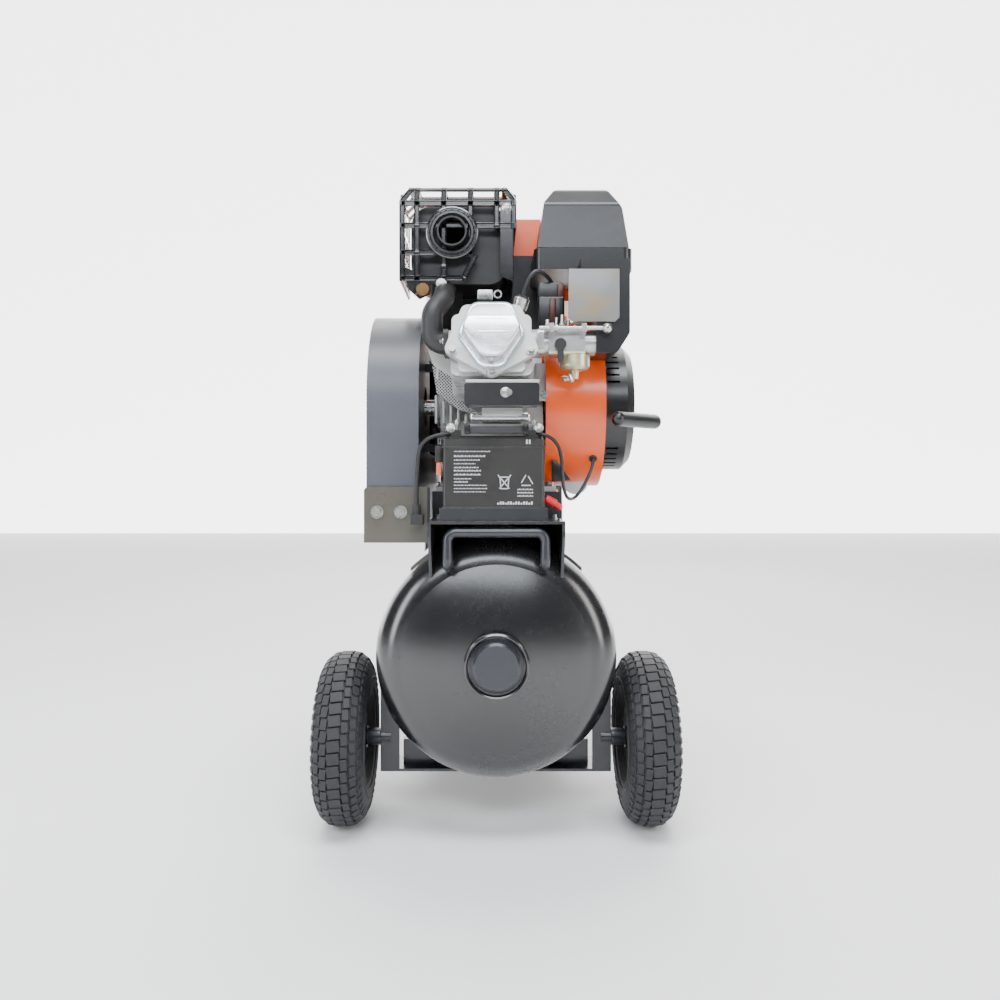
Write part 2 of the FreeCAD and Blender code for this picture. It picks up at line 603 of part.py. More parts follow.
bars_x = [cage_x0 + strip / 2, -117.0, -77.5, -38.0, 1.0, cage_x1 - strip / 2]
lows = [muffler_z0 + 2, muffler_z0 - 22, muffler_z0 + 2, muffler_z0 + 34, crank_z + 258, crank_z + 258]
cage = [cage_strip(x, low) for x, low in zip(bars_x, lows)]
for level, reach in ((cage_shoulder - 6, cage_x1), (crank_z + 261, cage_x1), (crank_z + 221, -34),
                     (muffler_z0 + 5, -48)):
    cage.append(box(cage_x0, reach, cage_y0, cage_y0 + thick, level - strip / 2, level + strip / 2))
for level in (cage_top - strip / 2, crank_z + 261, crank_z + 221, muffler_z0 + 5):
    cage.append(box(cage_x0, cage_x0 + thick, cage_y0, cage_y1, level - strip / 2, level + strip / 2))
for level in (cage_top - strip / 2, crank_z + 261):
    cage.append(box(cage_x1 - thick, cage_x1, cage_y0 if level < cage_shoulder else cage_y0 + 18, cage_y1,
                    level - strip / 2, level + strip / 2))
for y in (cage_y0 + 20, -5.0, 32.0, cage_y1 - strip):
    cage.append(box(cage_x0, cage_x1, y, y + strip, cage_top - thick, cage_top))
for y in (-5.0, 32.0, cage_y1 - strip):
    cage.append(box(cage_x0, cage_x0 + thick, y, y + strip, muffler_z0 + 2, cage_top))
    cage.append(box(cage_x1 - thick, cage_x1, y, y + strip, crank_z + 258, cage_top))
cage.append(rod((outlet_x, cage_y0 - 3, outlet_z), (0, 1, 0), 6, 37))
studs = [rod((x, cage_y0 + 1, z), (0, 1, 0), muffler_y0 - cage_y0 - 1, 5) for x, z in
         ((-117, crank_z + 221), (-77.5, crank_z + 200), (1, crank_z + 261), (-117, crank_z + 261))]
cage = cage[0].fuse(cage[1:] + studs).cut(rod((outlet_x, cage_y0 - 10, outlet_z), (0, 1, 0), 20, 26))
save("muffler_guard", cage.removeSplitter())

# ---------------------------------------------------------------- intake side
filter_x0, filter_x1 = 56.0, 200.0
filter_y0, filter_y1 = -78.0, 56.0
filter_z0 = crank_z + 193.0
seam_z = filter_z0 + 32.0
filter_top = seam_z + 94.0


def filter_cover(inset):
    """Air cleaner cover block: the front profile crossed with the side profile."""
    x0, x1 = filter_x0 + 5 + inset, filter_x1 - 6 - inset
    y0, y1 = filter_y0 + inset, filter_y1 - inset
    top = filter_top - inset
    front = slab([(x0, seam_z), (x0 + 9, top - 26), (x0 + 27, top), (x1 - 30, top), (x1 - 9, top - 35),
                  (x1, seam_z)],
                 [0, 14, 14, 14, 14, 0], "y", y0 - 5, y1 + 5)
    side = slab([(y0, seam_z), (y0 + 6, top - 28), (y0 + 26, top), (y1 - 26, top), (y1 - 6, top - 28),
                 (y1, seam_z)],
                [0, 14, 14, 14, 14, 0], "x", x0 - 5, x1 + 5)
    return front.common(side)


knob = rod(((filter_x0 + filter_x1) / 2 - 16, -10, filter_top - 1), (0, 0, 1), 3, 12)
save("air_cleaner_cover", filter_cover(0).cut(filter_cover(wall)).fuse(knob))
base = slab(rectangle(filter_x0, filter_x1, filter_y0, filter_y1), 14, "z", filter_z0, seam_z - apart)
base = base.cut(slab(rectangle(filter_x0 + 3, filter_x1 - 3, filter_y0 + 3, filter_y1 - 3), 11, "z",
                     filter_z0 + 4, seam_z))
carb_y, carb_z = port_right[1], port_right[2]
elbow = slab([(118, filter_z0 + 1), (186, filter_z0 + 1), (186, carb_z + 12), (168, carb_z - 16),
              (139, carb_z - 16),
              (139, carb_z + 34), (118, carb_z + 50)], [0, 0, 14, 10, 3, 8, 8], "y", carb_y - 22, carb_y + 60)
elbow_room = slab([(121, filter_z0 + 8), (183, filter_z0 + 8), (183, carb_z + 11), (167, carb_z - 13),
                   (142, carb_z - 13),
                   (142, carb_z + 37), (121, carb_z + 52)], [0, 0, 11, 7, 3, 5, 5], "y", carb_y - 19,
                   carb_y + 57)
elbow = elbow.cut([elbow_room, rod((135, carb_y, carb_z), (1, 0, 0), 15, 12)])
base = base.fuse(elbow).cut(slab([(124, filter_z0 - 2), (180, filter_z0 - 2), (180, filter_z0 + 12),
                                  (124, filter_z0 + 12)],
                                 4, "y", filter_y0 + 10, carb_y + 54))
arm = box(128, 144, filter_y1 - 8, filter_y1 - 4, crank_z + 70, filter_z0 + 2)
save("air_cleaner_base", base.fuse(arm).cut(rod((0, crank_y, crank_z), (1, 0, 0), 300, blower_r)))

carb_x0, carb_x1 = port_right[0] + 16.0, 134.0
throat = rod((port_right[0], carb_y, carb_z), (1, 0, 0), 139 - port_right[0], 17)
carb = slab(rectangle(carb_y - 20, carb_y + 20, carb_z - 18, carb_z + 22), 6, "x", carb_x0, carb_x1 - 10)
carb_flange = slab(rectangle(carb_y - 26, carb_y + 26, carb_z - 18, carb_z + 18), 8, "x", port_right[0],
                   port_right[0] + 9)
bowl_x = 111.0
bowl = turned([(0, 0), (0, 21), (16, 21), (20, 17), (22, 8), (22, 6), (33, 5), (33, 0)],
              (bowl_x, carb_y, carb_z - 17), (0, 0, -1))
choke_y, choke_z = carb_y - 32.0, carb_z + 17.0
lugs = [box(x, x + 6, choke_y - 6, carb_y - 18, choke_z - 6, choke_z + 6) for x in (carb_x0, carb_x1 - 16)]
carb = carb.fuse([throat, carb_flange, bowl] + lugs)
carb = carb.cut([rod((port_right[0] - 1, carb_y, carb_z), (1, 0, 0), 120, 12),
                 rod((0, choke_y, choke_z), (1, 0, 0), 200, 3.0 + running),
                 rod((carb_x0 + 16, carb_y - 21, carb_z - 4), (0, 1, 0), 9, 3.0 + running)])
save("carburettor", carb)
choke = rod((carb_x0 - 14, choke_y, choke_z), (1, 0, 0), 92, 3.0)
choke = choke.fuse([rod((carb_x0 + 8, choke_y, choke_z), (1, 0, 0), 3, 5.0),
                    Part.makeSphere(7.0, Vector(carb_x0 + 80, choke_y, choke_z))])
save("choke_rod", choke)
tap_face = carb_y - 20 - 2.5            # the lever swings in front of the float bowl
tap_x, tap_z = carb_x0 + 16, carb_z - 4
tap = rod((tap_x, tap_face, tap_z), (0, -1, 0), 6, 8)
tap = tap.fuse([rod((tap_x, carb_y - 13, tap_z), (0, -1, 0), 12, 3.0),
                slab(rectangle(tap_x - 4, tap_x + 4, tap_z - 26, tap_z), [4, 4, 0, 0], "y",
                     tap_face - 5.5, tap_face)])
save("fuel_tap_lever", tap)

# ---------------------------------------------------------------- shrouds and small engine boxes
shroud_y = -98.0
panel = slab([(-97, crank_z + 70), (-68, crank_z + 70), (-66, crank_z + 30), (-44, crank_z - 6),
              (-84, crank_z - 10),
              (-90, crank_z + 30)], 3, "y", shroud_y, shroud_y + 2)
holes = [rod((-100 + 9 * k, shroud_y - 1, crank_z - 4 + 9 * j), (0, 1, 0), 4, 2.8) for k in range(7)
         for j in range(8)]
left_side = box(-72, -70, shroud_y + 1, -20, crank_z - 4, crank_z + 60)
right_side = slab(rectangle(-100, 30, crank_z + 2, crank_z + 58), 6, "x", 58, 60)
right_face = slab(rectangle(58, 76, crank_z + 2, crank_z + 58), 3, "y", -100, -98)
panel = panel.cut(holes)
shrouds = [panel.fuse(left_side), right_side.fuse(right_face)]
blocked = [tilt(head), tilt(barrel), crankcase, rod((0, crank_y, crank_z), (1, 0, 0), 300, blower_r + apart),
           pipe(exhaust_path, exhaust_r + 2, exhaust_bend),
           box(port_left[0] - 16, 0, port_left[1] - 30, port_left[1] + 30,
                                               port_left[2] - 20, port_left[2] + 20)]
save("cylinder_shrouds", *[shroud.cut(blocked) for shroud in shrouds])

ctl_y0, ctl_y1 = -170.0, -136.0
ctl_z0, ctl_z1 = crank_z - 14.0, crank_z + 17.0
control = slab(rectangle(-44, 58, ctl_z0, ctl_z1), 4, "y", ctl_y0, ctl_y1)
hanger = slab([(ctl_y1 - 12, ctl_z0 - 3), (ctl_y1 + 8, ctl_z0 - 3), (crank_y - 94, crank_z - 34),
               (crank_y - 80, crank_z - 34),
               (crank_y - 80, crank_z - 37), (crank_y - 95, crank_z - 37), (ctl_y1 + 6, ctl_z0 - 6),
               (ctl_y1 - 12, ctl_z0 - 6)],
              0, "x", -20, 36)
hanger = hanger.fuse(box(-20, 36, ctl_y1 - 12, ctl_y1, ctl_z0 - 3.2, ctl_z0 + 1))
save("control_box", control.fuse(hanger).cut([tilt(head), tilt(barrel), crankcase]))

plug_base = tilted_point(26, 46, head_base + 26)
plug_axis = (0.25, -0.18, 0.95)
spark = rod(plug_base, plug_axis, 22, 7).fuse([hexagon(tuple(Vector(*plug_base) + Vector(*plug_axis) * 8),
                                                       plug_axis, 8, 18),
                                               rod(tuple(Vector(*plug_base) + Vector(*plug_axis) * 20),
                                                   plug_axis, 26, 9)])
save("spark_plug", spark.cut(tilt(head)))
plug_top = Vector(*plug_base) + Vector(*plug_axis) * 46.5

# ---------------------------------------------------------------- fuel tank
fuel_x0, fuel_x1 = -122.0, 178.0
fuel_y0, fuel_y1 = 78.0, 258.0
fuel_z0, fuel_z1 = crank_z + 178.0, crank_z + 312.0
fuel = slab(rectangle(fuel_x0, fuel_x1, fuel_z0, fuel_z1), 34, "y", fuel_y0, fuel_y1)
fuel = fuel.common(slab(rectangle(fuel_x0, fuel_x1, fuel_y0, fuel_y1), 34, "z", fuel_z0, fuel_z1))
fuel_room = slab(rectangle(fuel_x0 + 2, fuel_x1 - 2, fuel_z0 + 2, fuel_z1 - 2), 32, "y", fuel_y0 + 2,
                 fuel_y1 - 2)
fuel_room = fuel_room.common(slab(rectangle(fuel_x0 + 2, fuel_x1 - 2, fuel_y0 + 2, fuel_y1 - 2), 32, "z",
                                  fuel_z0, fuel_z1))
neck_x, neck_y = -22.0, 170.0
neck_r = 24.0
fuel = fuel.fuse(rod((neck_x, neck_y, fuel_z1 - 4), (0, 0, 1), 14, neck_r))
fuel = fuel.cut([fuel_room, rod((neck_x, neck_y, fuel_z1 - 6), (0, 0, 1), 20, neck_r - 3)])
seam = slab(rectangle(fuel_x0 - 5, fuel_x1 + 5, fuel_y0 - 5, fuel_y1 + 5), 38, "z", fuel_z0 + 50,
            fuel_z0 + 53)
fuel = fuel.fuse(seam.cut(slab(rectangle(fuel_x0 + 1, fuel_x1 - 1, fuel_y0 + 1, fuel_y1 - 1), 33, "z",
                               fuel_z0, fuel_z1)))
legs = [box(x - 10, x + 10, 92, 96, crank_z + 60, fuel_z0 + 1.5) for x in (-45, 45)]
save("fuel_tank", fuel.fuse(legs).cut(crankcase))
cap = turned([(2, neck_r + 1), (2, 36), (16, 36), (20, 32), (20, 0), (12, 0), (12, neck_r + 1)],
             (neck_x, neck_y, fuel_z1), (0, 0, 1))
grips = around(rod((neck_x + 37.5, neck_y, fuel_z1 + 1), (0, 0, 1), 16, 3.5), (neck_x, neck_y, 0),
               (0, 0, 1), 12)
save("fuel_cap", cap.cut(grips))

# ---------------------------------------------------------------- blower, recoil starter, starter motor
axis_x = (1, 0, 0)
blower_end = blower_x + blower_w
blower = rod((blower_x, crank_y, crank_z), axis_x, blower_w, blower_r)
blower = blower.cut([rod((blower_x - 1, crank_y, crank_z), axis_x, blower_w - wall + 1, blower_r - wall),
                     rod((blower_x, crank_y, crank_z), axis_x, 200, 78.0)])
rim_lip = ring((blower_end - 4, crank_y, crank_z), axis_x, 4, blower_r, blower_r - 9)
lugs = [box(case_half, blower_x + 4, crank_y + y - 8, crank_y + y + 8, crank_z + z - 8, crank_z + z + 8)
        for y, z in ((60, 60), (-52, 74), (74, -60), (-70, -70))]
back_ring = ring((blower_x, crank_y, crank_z), axis_x, wall, blower_r, 84.0)
plate_z = crank_z + blower_r
pivot_x, pivot_y = 108.0, 20.0
pivot_plate = box(pivot_x - 14, pivot_x + 14, pivot_y - 14, pivot_y + 40, plate_z - 12, plate_z + 4)
pivot_plate = pivot_plate.cut(rod((0, crank_y, crank_z), axis_x, 300, blower_r - 1))
blower = blower.fuse([rim_lip, back_ring, pivot_plate, rod((pivot_x, pivot_y, plate_z), (0, 0, 1), 18,
                                                           4.0)] + lugs)
save("blower_housing", blower.cut(crankcase).removeSplitter())
throttle_z = plate_z + 4 + apart
throttle = rod((pivot_x, pivot_y, throttle_z), (0, 0, 1), 6, 10)
throttle = throttle.fuse([slab(rectangle(pivot_x, pivot_x + 58, pivot_y - 5, pivot_y + 5), [0, 4, 4, 0],
                               "z", throttle_z, throttle_z + 4),
                          rod((pivot_x + 52, pivot_y, throttle_z), (0, 0, 1), 12, 6)])
save("throttle_lever", throttle.cut(rod((pivot_x, pivot_y, 0), (0, 0, 1), 2000, 4.0 + running)))

recoil_end = recoil_x + recoil_w
face_r = recoil_r - 12
recoil_turn = recoil_w * 0.75         # where the rim turns in towards the end face
recoil = turned([(0, recoil_r - wall), (0, recoil_r), (recoil_turn, recoil_r), (recoil_w, face_r),
                 (recoil_w, 0), (recoil_w - wall, 0), (recoil_w - wall, face_r - wall),
                 (recoil_turn, recoil_r - wall)],
                (recoil_x, crank_y, crank_z), axis_x)
slot = box(recoil_x + 3, recoil_x + 24, crank_y - recoil_r - 5, crank_y - recoil_r + 12, crank_z - 1.9,
           crank_z + 1.9)
slots = []
for quarter in (0, 90, 180, 270):
    slots += around(slot, (0, crank_y, crank_z), axis_x, 5, -19 - quarter, -7.0)
post = rod((recoil_end - 30, crank_y, crank_z), axis_x, 29, 8.0)
skirt = ring((recoil_x, crank_y, crank_z), axis_x, 3, recoil_r + 14, recoil_r - wall)
pull = Vector(1, -1, 0).normalize()
guide_z = crank_z - 27.0
guide = Vector(recoil_x + 30, crank_y - recoil_r + 2, guide_z)
guide_boss = rod(tuple(guide - pull * 16), tuple(pull), 20, 9)
rope_r = 2.5
recoil = recoil.cut(slots).fuse([post, skirt, guide_boss])
recoil = recoil.cut(rod(tuple(guide - pull * 30), tuple(pull), 60, rope_r + 0.5))
save("recoil_cover", recoil)
reel_r = 60.0
reel_x0 = recoil_end - 28.0
reel = turned([(0, 8 + running), (0, reel_r), (3, reel_r), (3, reel_r - 8), (13, reel_r - 8),
               (13, reel_r), (16, reel_r),
               (16, 8 + running)], (reel_x0, crank_y, crank_z), axis_x)
save("recoil_reel", reel.cut(rod((reel_x0 - 1, crank_y + 30, crank_z), axis_x, 30, 7)))
grip_mid = guide + pull * 22
across = Vector(1, 1, 0).normalize()
grip = rod(tuple(grip_mid - across * 44), tuple(across), 88, 11.0)
grip = grip.fuse([Part.makeSphere(11.0, grip_mid - across * 44),
                  Part.makeSphere(11.0, grip_mid + across * 44),
                  rod(tuple(guide + pull * 4.6), tuple(pull), 14, 7.0),
                  rod(tuple(guide - pull * 12), tuple(pull), 20, rope_r)])
save("starter_grip", grip)

motor_y, motor_z = crank_y + 128.0, crank_z - 30.0
motor = rod((-52, motor_y, motor_z), axis_x, 112, 36).fuse([
    rod((-58, motor_y, motor_z), axis_x, 8, 26), rod((58, motor_y, motor_z), axis_x, 12, 24),
    rod((-36, motor_y + 8, motor_z + 52), axis_x, 72, 19),
    box(-30, 30, motor_y - 2, motor_y + 14, motor_z + 28, motor_z + 44),
    box(-20, 20, crank_y + 80, motor_y - 30, motor_z - 14, motor_z + 14)])
save("starter_motor", motor.cut(crankcase))

# ---------------------------------------------------------------- engine shaft, flywheel, belt drive
web = slab([(crank_y - 30, crank_z - 48), (crank_y + 30, crank_z - 48), (crank_y + 24, crank_z + 46),
            (crank_y - 24, crank_z + 46)],
           14, "x", 0, 16)
webs = [web.copy() for _ in range(2)]
webs[0].translate(Vector(cylinder_x - 32, 0, 0))
webs[1].translate(Vector(cylinder_x + 16, 0, 0))
crank = [rod((shaft_end, crank_y, crank_z), axis_x, cylinder_x - 20 - shaft_end, shaft_r),
         rod((cylinder_x + 20, crank_y, crank_z), axis_x, 112 - cylinder_x, shaft_r),
         rod((cylinder_x - 20, crank_y, crank_z + 33), axis_x, 40, 13),
         hexagon((shaft_end - 6, crank_y, crank_z), axis_x, 7, 19)]
save("engine_crankshaft", crank[0].fuse(crank[1:] + webs))
fan_x = blower_x + 12
fan = rod((fan_x, crank_y, crank_z), axis_x, 14, fan_r - 4).fuse([ring((fan_x, crank_y, crank_z), axis_x,
                                                                       8, fan_r, fan_r - 6)])
blade = box(fan_x + 13, fan_x + 40, crank_y - 1.5, crank_y + 1.5, crank_z + 60, crank_z + fan_r - 10)
fan = fan.fuse(around(blade, (0, crank_y, crank_z), axis_x, 16)).cut(rod((0, crank_y, crank_z), axis_x,
    200, shaft_r))
save("flywheel_fan", fan)


def grooved(radius, bore_r, web_in, web_out, centre):
    """Two-groove pulley with a thin web between its rim and hub."""
    w, g, depth = pulley_w / 2, belt_w / 2 + 0.6, belt_h + 1.6
    belt_at = (pulley_w / 4 - 1)
    profile = [(-w, radius), (-belt_at - g, radius), (-belt_at - g, radius - depth),
               (-belt_at + g, radius - depth),
               (-belt_at + g, radius), (belt_at - g, radius), (belt_at - g, radius - depth),
               (belt_at + g, radius - depth),
               (belt_at + g, radius), (w, radius), (w, web_out), (5, web_out), (5, web_in), (w, web_in),
               (w, bore_r),
               (-w, bore_r), (-w, web_in), (-5, web_in), (-5, web_out), (-w, web_out)]
    return turned(profile, centre, axis_x)


save("drive_pulley", grooved(drive_pulley_r, shaft_r, 24, 40, (pulley_x, crank_y, crank_z)))
wheel_centre = (pulley_x, pump_y, pump_z)
spoked = grooved(flywheel_r, shaft_r, 30, 134, wheel_centre)
window = slab([(pump_y - 30, pump_z + 124), (pump_y - 13, pump_z + 42), (pump_y + 13, pump_z + 42),
               (pump_y + 58, pump_z + 108)],
              8, "x", pulley_x - 10, pulley_x + 10)
spoked = spoked.cut(around(window, wheel_centre, axis_x, 5))
throw = [box(x - 7, x + 7, pump_y - 18, pump_y + 18, pump_z - 30, pump_z + 30) for x in (-72, -32, 32, 72)]
pins = [rod((x - 14, pump_y, pump_z + z), axis_x, 28, 11) for x, z in ((-52, 18), (52, -18))]
pump_shaft = [rod((pulley_x - pulley_w / 2 - 2, pump_y, pump_z), axis_x,
                  -32 - 7 - 26 + 2 - (pulley_x - pulley_w / 2 - 2), shaft_r)]
pump_shaft += [rod((-32, pump_y, pump_z), axis_x, 64, shaft_r),
               rod((66, pump_y, pump_z), axis_x, 22, shaft_r)]
save("pump_flywheel", spoked)
save("pump_crankshaft", pump_shaft[0].fuse(pump_shaft[1:] + throw + pins))


def loop_outline(front_r, rear_r):
    """Closed wire around the two shafts: two arcs joined by their outer tangents, as seen along X."""
    dy, dz = pump_y - crank_y, pump_z - crank_z
    turn = math.acos((front_r - rear_r) / math.hypot(dy, dz))
    base_angle = math.atan2(dz, dy)
    top, low = base_angle + turn, base_angle - turn

    def at(cy, cz, r, angle):
        return Vector(0, cy + r * math.cos(angle), cz + r * math.sin(angle))

    return Part.Wire([Part.LineSegment(at(crank_y, crank_z, front_r, top),
                                       at(pump_y, pump_z, rear_r, top)).toShape(),
                      Part.Arc(at(pump_y, pump_z, rear_r, top), at(pump_y, pump_z, rear_r, base_angle),
                               at(pump_y, pump_z, rear_r, low)).toShape(),
                      Part.LineSegment(at(pump_y, pump_z, rear_r, low),
                                       at(crank_y, crank_z, front_r, low)).toShape(),
                      Part.Arc(at(crank_y, crank_z, front_r, low),
                               at(crank_y, crank_z, front_r, base_angle + math.pi),
                               at(crank_y, crank_z, front_r, top)).toShape()])


def loop_block(front_r, rear_r, x0, x1):
    """Loop outline pushed out along X."""
    solid = Part.Face(loop_outline(front_r, rear_r)).extrude(Vector(x1 - x0, 0, 0))
    solid.translate(Vector(x0, 0, 0))
    return solid


belts = []
for place in (-1, 1):
    x = pulley_x + place * (pulley_w / 4 - 1)
    outer = loop_block(drive_pulley_r - 1, flywheel_r - 1, x - belt_w / 2, x + belt_w / 2)
    belts.append(outer.cut(loop_block(drive_pulley_r - 1 - belt_h, flywheel_r - 1 - belt_h, x - belt_w,
                                      x + belt_w)))
save("drive_belt", *belts)

guard_low = crank_z - guard_drop


def guard_block(shrink, x0, x1):
    """Belt guard block: the loop around both pulleys with a straight lower edge."""
    loop = loop_block(guard_front_r - shrink, guard_rear_r - shrink, x0, x1)
    skirt = box(x0, x1, crank_y - guard_front_r + shrink, pump_y + guard_rear_r - shrink,
                guard_low + shrink, pump_z)
    skirt = skirt.fuse(box(x0, x1, crank_y - guard_front_r + shrink, pump_y,
                           min(pump_z, crank_z) - 1, max(pump_z, crank_z)))
    joined = loop.fuse(skirt).common(box(x0, x1, -500, 900, guard_low + shrink, crank_z + 400))
    return joined.removeSplitter()


guard = guard_block(0, -guard_side, guard_in).cut(guard_block(wall, -guard_side + wall, guard_in + 1))
vents = [box(-guard_side - 1, -guard_side + wall + 1, pump_y - 70 + 20 * k, pump_y - 62 + 20 * k,
             pump_z - 60, pump_z + 60)
         for k in range(8)]
save("belt_guard_cover", guard.cut(vents))
back = guard_block(wall + apart, guard_in - wall, guard_in)
back = back.cut([rod((guard_in - 20, crank_y, crank_z), axis_x, 40, 34),
                 rod((guard_in - 20, pump_y, pump_z), axis_x, 40, 34),
                 box(guard_in - 20, guard_in + 20, crank_y + 90, pump_y - 70, crank_z - 70, crank_z + 90)])
guard_stays = [box(guard_in, side_face + 6, crank_y - 6, crank_y + 6, crank_z + z - 6, crank_z + z + 6)
               for z in (-64, 64)]
guard_stays.append(box(guard_in, -pump_half, pump_y - 10, pump_y + 10, pump_z - 66, pump_z - 56))
save("belt_guard_backplate", back.fuse(guard_stays).cut(crankcase))

# ---------------------------------------------------------------- pump
pump_top = pump_z + 72.0
pump_case = slab([(pump_y - 70, deck_z + 10), (pump_y + 70, deck_z + 10), (pump_y + 78, pump_z),
                  (pump_y + 56, pump_top),
                  (pump_y - 56, pump_top), (pump_y - 78, pump_z)], [6, 6, 30, 6, 6, 30], "x", -pump_half,
                  pump_half)
pump_case = pump_case.fuse([box(-90, 90, pump_y - 92, pump_y + 92, deck_z, deck_z + 12),
                            rod((-pump_half - 3, pump_y, pump_z), axis_x, 6, 40),
                            rod((pump_half - 2, pump_y, pump_z), axis_x, 8, 54)])
pump_case = pump_case.cut([rod((-pump_half + 9, pump_y, pump_z), axis_x, 2 * pump_half - 18, 50),
                           rod((-150, pump_y, pump_z), axis_x, 150, shaft_r + running),
                           rod((60, pump_y, pump_z), axis_x, 29, shaft_r + running)]
                          + [rod((x, pump_y, pump_z), (0, 0, 1), 100, pump_bore_r + 3)
                             for x in (-pump_pitch / 2, pump_pitch / 2)])
breather = rod((-60, pump_y + 60, pump_z + 40), (0, 0.6, 0.8), 40, 12)
save("pump_crankcase", pump_case.fuse(breather).cut(rod((-pump_half + 9, pump_y, pump_z), axis_x,
                                                        2 * pump_half - 18, 50)))
cyls, heads, filters = [], [], []
cyl_h = 82.0
for x in (-pump_pitch / 2, pump_pitch / 2):
    body = rod((x, pump_y, pump_top), (0, 0, 1), cyl_h, pump_bore_r + 7)
    rings = [rod((x, pump_y, pump_top + 10 + 9 * k), (0, 0, 1), 3, pump_bore_r + 17) for k in range(8)]
    foot = slab(rectangle(x - 46, x + 46, pump_y - 46, pump_y + 46), 8, "z", pump_top, pump_top + 7)
    cyls.append(body.fuse(rings + [foot]).cut(rod((x, pump_y, pump_top - 1), (0, 0, 1), cyl_h + 2,
                                                  pump_bore_r)))
    z = pump_top + cyl_h
    block = slab(rectangle(x - 46, x + 46, pump_y - 48, pump_y + 48), 8, "z", z, z + 34)
    tops = [box(x - 42 + 12 * k, x - 39 + 12 * k, pump_y - 44, pump_y + 44, z + 33, z + 44) for k in range(8)]
    heads.append(block.fuse(tops))
    neck = rod((x, pump_y + 46, z + 16), (0, 1, 0), 16, 10)
    can = turned([(0, 0), (0, 34), (4, 37), (34, 37), (40, 30), (40, 0)], (x, pump_y + 60, z + 16), (0, 1, 0))
    filters.append(neck.fuse(can).cut(block))
link = rod((-8, pump_y - 20, pump_top + cyl_h + 18), axis_x, 16, 8)
save("pump_cylinders", *cyls)
save("pump_heads", heads[0].fuse([heads[1], link]))
save("pump_intake_filters", *filters)

valve_start = Vector(0, check_y, tank_z) + check_dir * (tank_r + 10)
valve = rod(tuple(valve_start), tuple(check_dir), 34,
            12).fuse(hexagon(tuple(valve_start), tuple(check_dir), 10, 28))
valve_end = valve_start + check_dir * 34
run_x = 110.0
head_port = (pump_pitch / 2 + 46, pump_y - 10, pump_top + cyl_h + 16)
delivery_points = [head_port, (run_x + 8, head_port[1], head_port[2]), (run_x + 8, pump_y + 110, deck_z + 60),
                   (valve_end.x + 24 * check_dir.x, check_y, valve_end.z + 24 * check_dir.z),
                   tuple(valve_end)]
delivery = pipe(delivery_points, 8.0, 14.0, 6.5)
save("delivery_pipe", delivery.fuse(valve).cut(pipe(delivery_points, 6.5, 14.0)))

# ---------------------------------------------------------------- air outlet
man_z = socket_top + 34.0
manifold = rod((0, outlet_y, socket_top), (0, 0, 1), 24, 11).fuse([
    hexagon((0, outlet_y, socket_top), (0, 0, 1), 10, 27),
    box(-62, 62, outlet_y - 16, outlet_y + 16, man_z - 12, man_z + 20),
    rod((-40, outlet_y, man_z + 20), (0, 0, 1), 12, 10),
    rod((40, outlet_y, man_z + 20), (0, 0, 1), 12, 10),
    rod((0, outlet_y, man_z + 20), (0, 0, 1), 18, 20),
    rod((-62, outlet_y, man_z + 4), (-1, 0, 0), 22, 9),
    rod((62, outlet_y, man_z + 4), (1, 0, 0), 22, 9)])
valve_body = box(84, 112, outlet_y - 12, outlet_y + 12, man_z - 8, man_z + 16)
coupling = rod((112, outlet_y, man_z + 4), (1, 0, 0), 34, 12)
safety = turned([(0, 0), (0, 9), (12, 9), (14, 7), (34, 7), (34, 9), (40, 9), (40, 0)],
                (-84, outlet_y, man_z + 4), (0, 0, 1))
manifold = manifold.fuse([valve_body, coupling, box(-94, -80, outlet_y - 9, outlet_y + 9, man_z - 6,
                                                    man_z + 6), safety])
bore = 5.5
manifold = manifold.cut([rod((124, outlet_y, man_z + 4), (1, 0, 0), 30, bore),
                         rod((98, outlet_y, man_z + 10), (0, 0, 1), 20, 3.0 + running),
                         rod((0, outlet_y, man_z + 28), (0, 0, 1), 20, 5.0 + running)])
save("air_manifold", manifold)
gauges = []
for x in (-40, 40):
    dial_z = man_z + 56
    dial = rod((x, outlet_y + 12, dial_z), (0, 1, 0), 22, 25).cut(rod((x, outlet_y + 16, dial_z), (0, 1,
        0), 30, 22))
    gauges.append(dial.fuse([rod((x, outlet_y, man_z + 32), (0, 0, 1), 14, 6),
                             box(x - 6, x + 6, outlet_y - 6, outlet_y + 13, man_z + 42, dial_z + 4)]))
save("pressure_gauges", *gauges)
knob_z = man_z + 38 + apart
knob = rod((0, outlet_y, knob_z), (0, 0, 1), 26, 17).fuse(rod((0, outlet_y, man_z + 30), (0, 0, 1), 12, 5.0))
flutes = around(rod((18.5, outlet_y, knob_z - 1), (0, 0, 1), 30, 3), (0, outlet_y, 0), (0, 0, 1), 10)
save("regulator_knob", knob.cut(flutes))
cock_z = man_z + 16 + apart
cock = rod((98, outlet_y, cock_z), (0, 0, 1), 9, 8).fuse([
    rod((98, outlet_y, man_z + 11), (0, 0, 1), 9, 3.0),
    slab(rectangle(98, 152, outlet_y - 6, outlet_y + 6), [0, 5, 5, 0], "z", cock_z + 5, cock_z + 9)])
save("outlet_cock_lever", cock)
drain_z = tank_bottom - 8.0
drain_tap = rod((0, drain_y, drain_z - apart), (0, 0, -1), 14, 8).fuse([
    rod((0, drain_y, drain_z + 12), (0, 0, -1), 20, 5.0 - running),
    box(-18, 18, drain_y - 2.5, drain_y + 2.5, drain_z - 14, drain_z - 6)])
save("drain_tap", drain_tap)

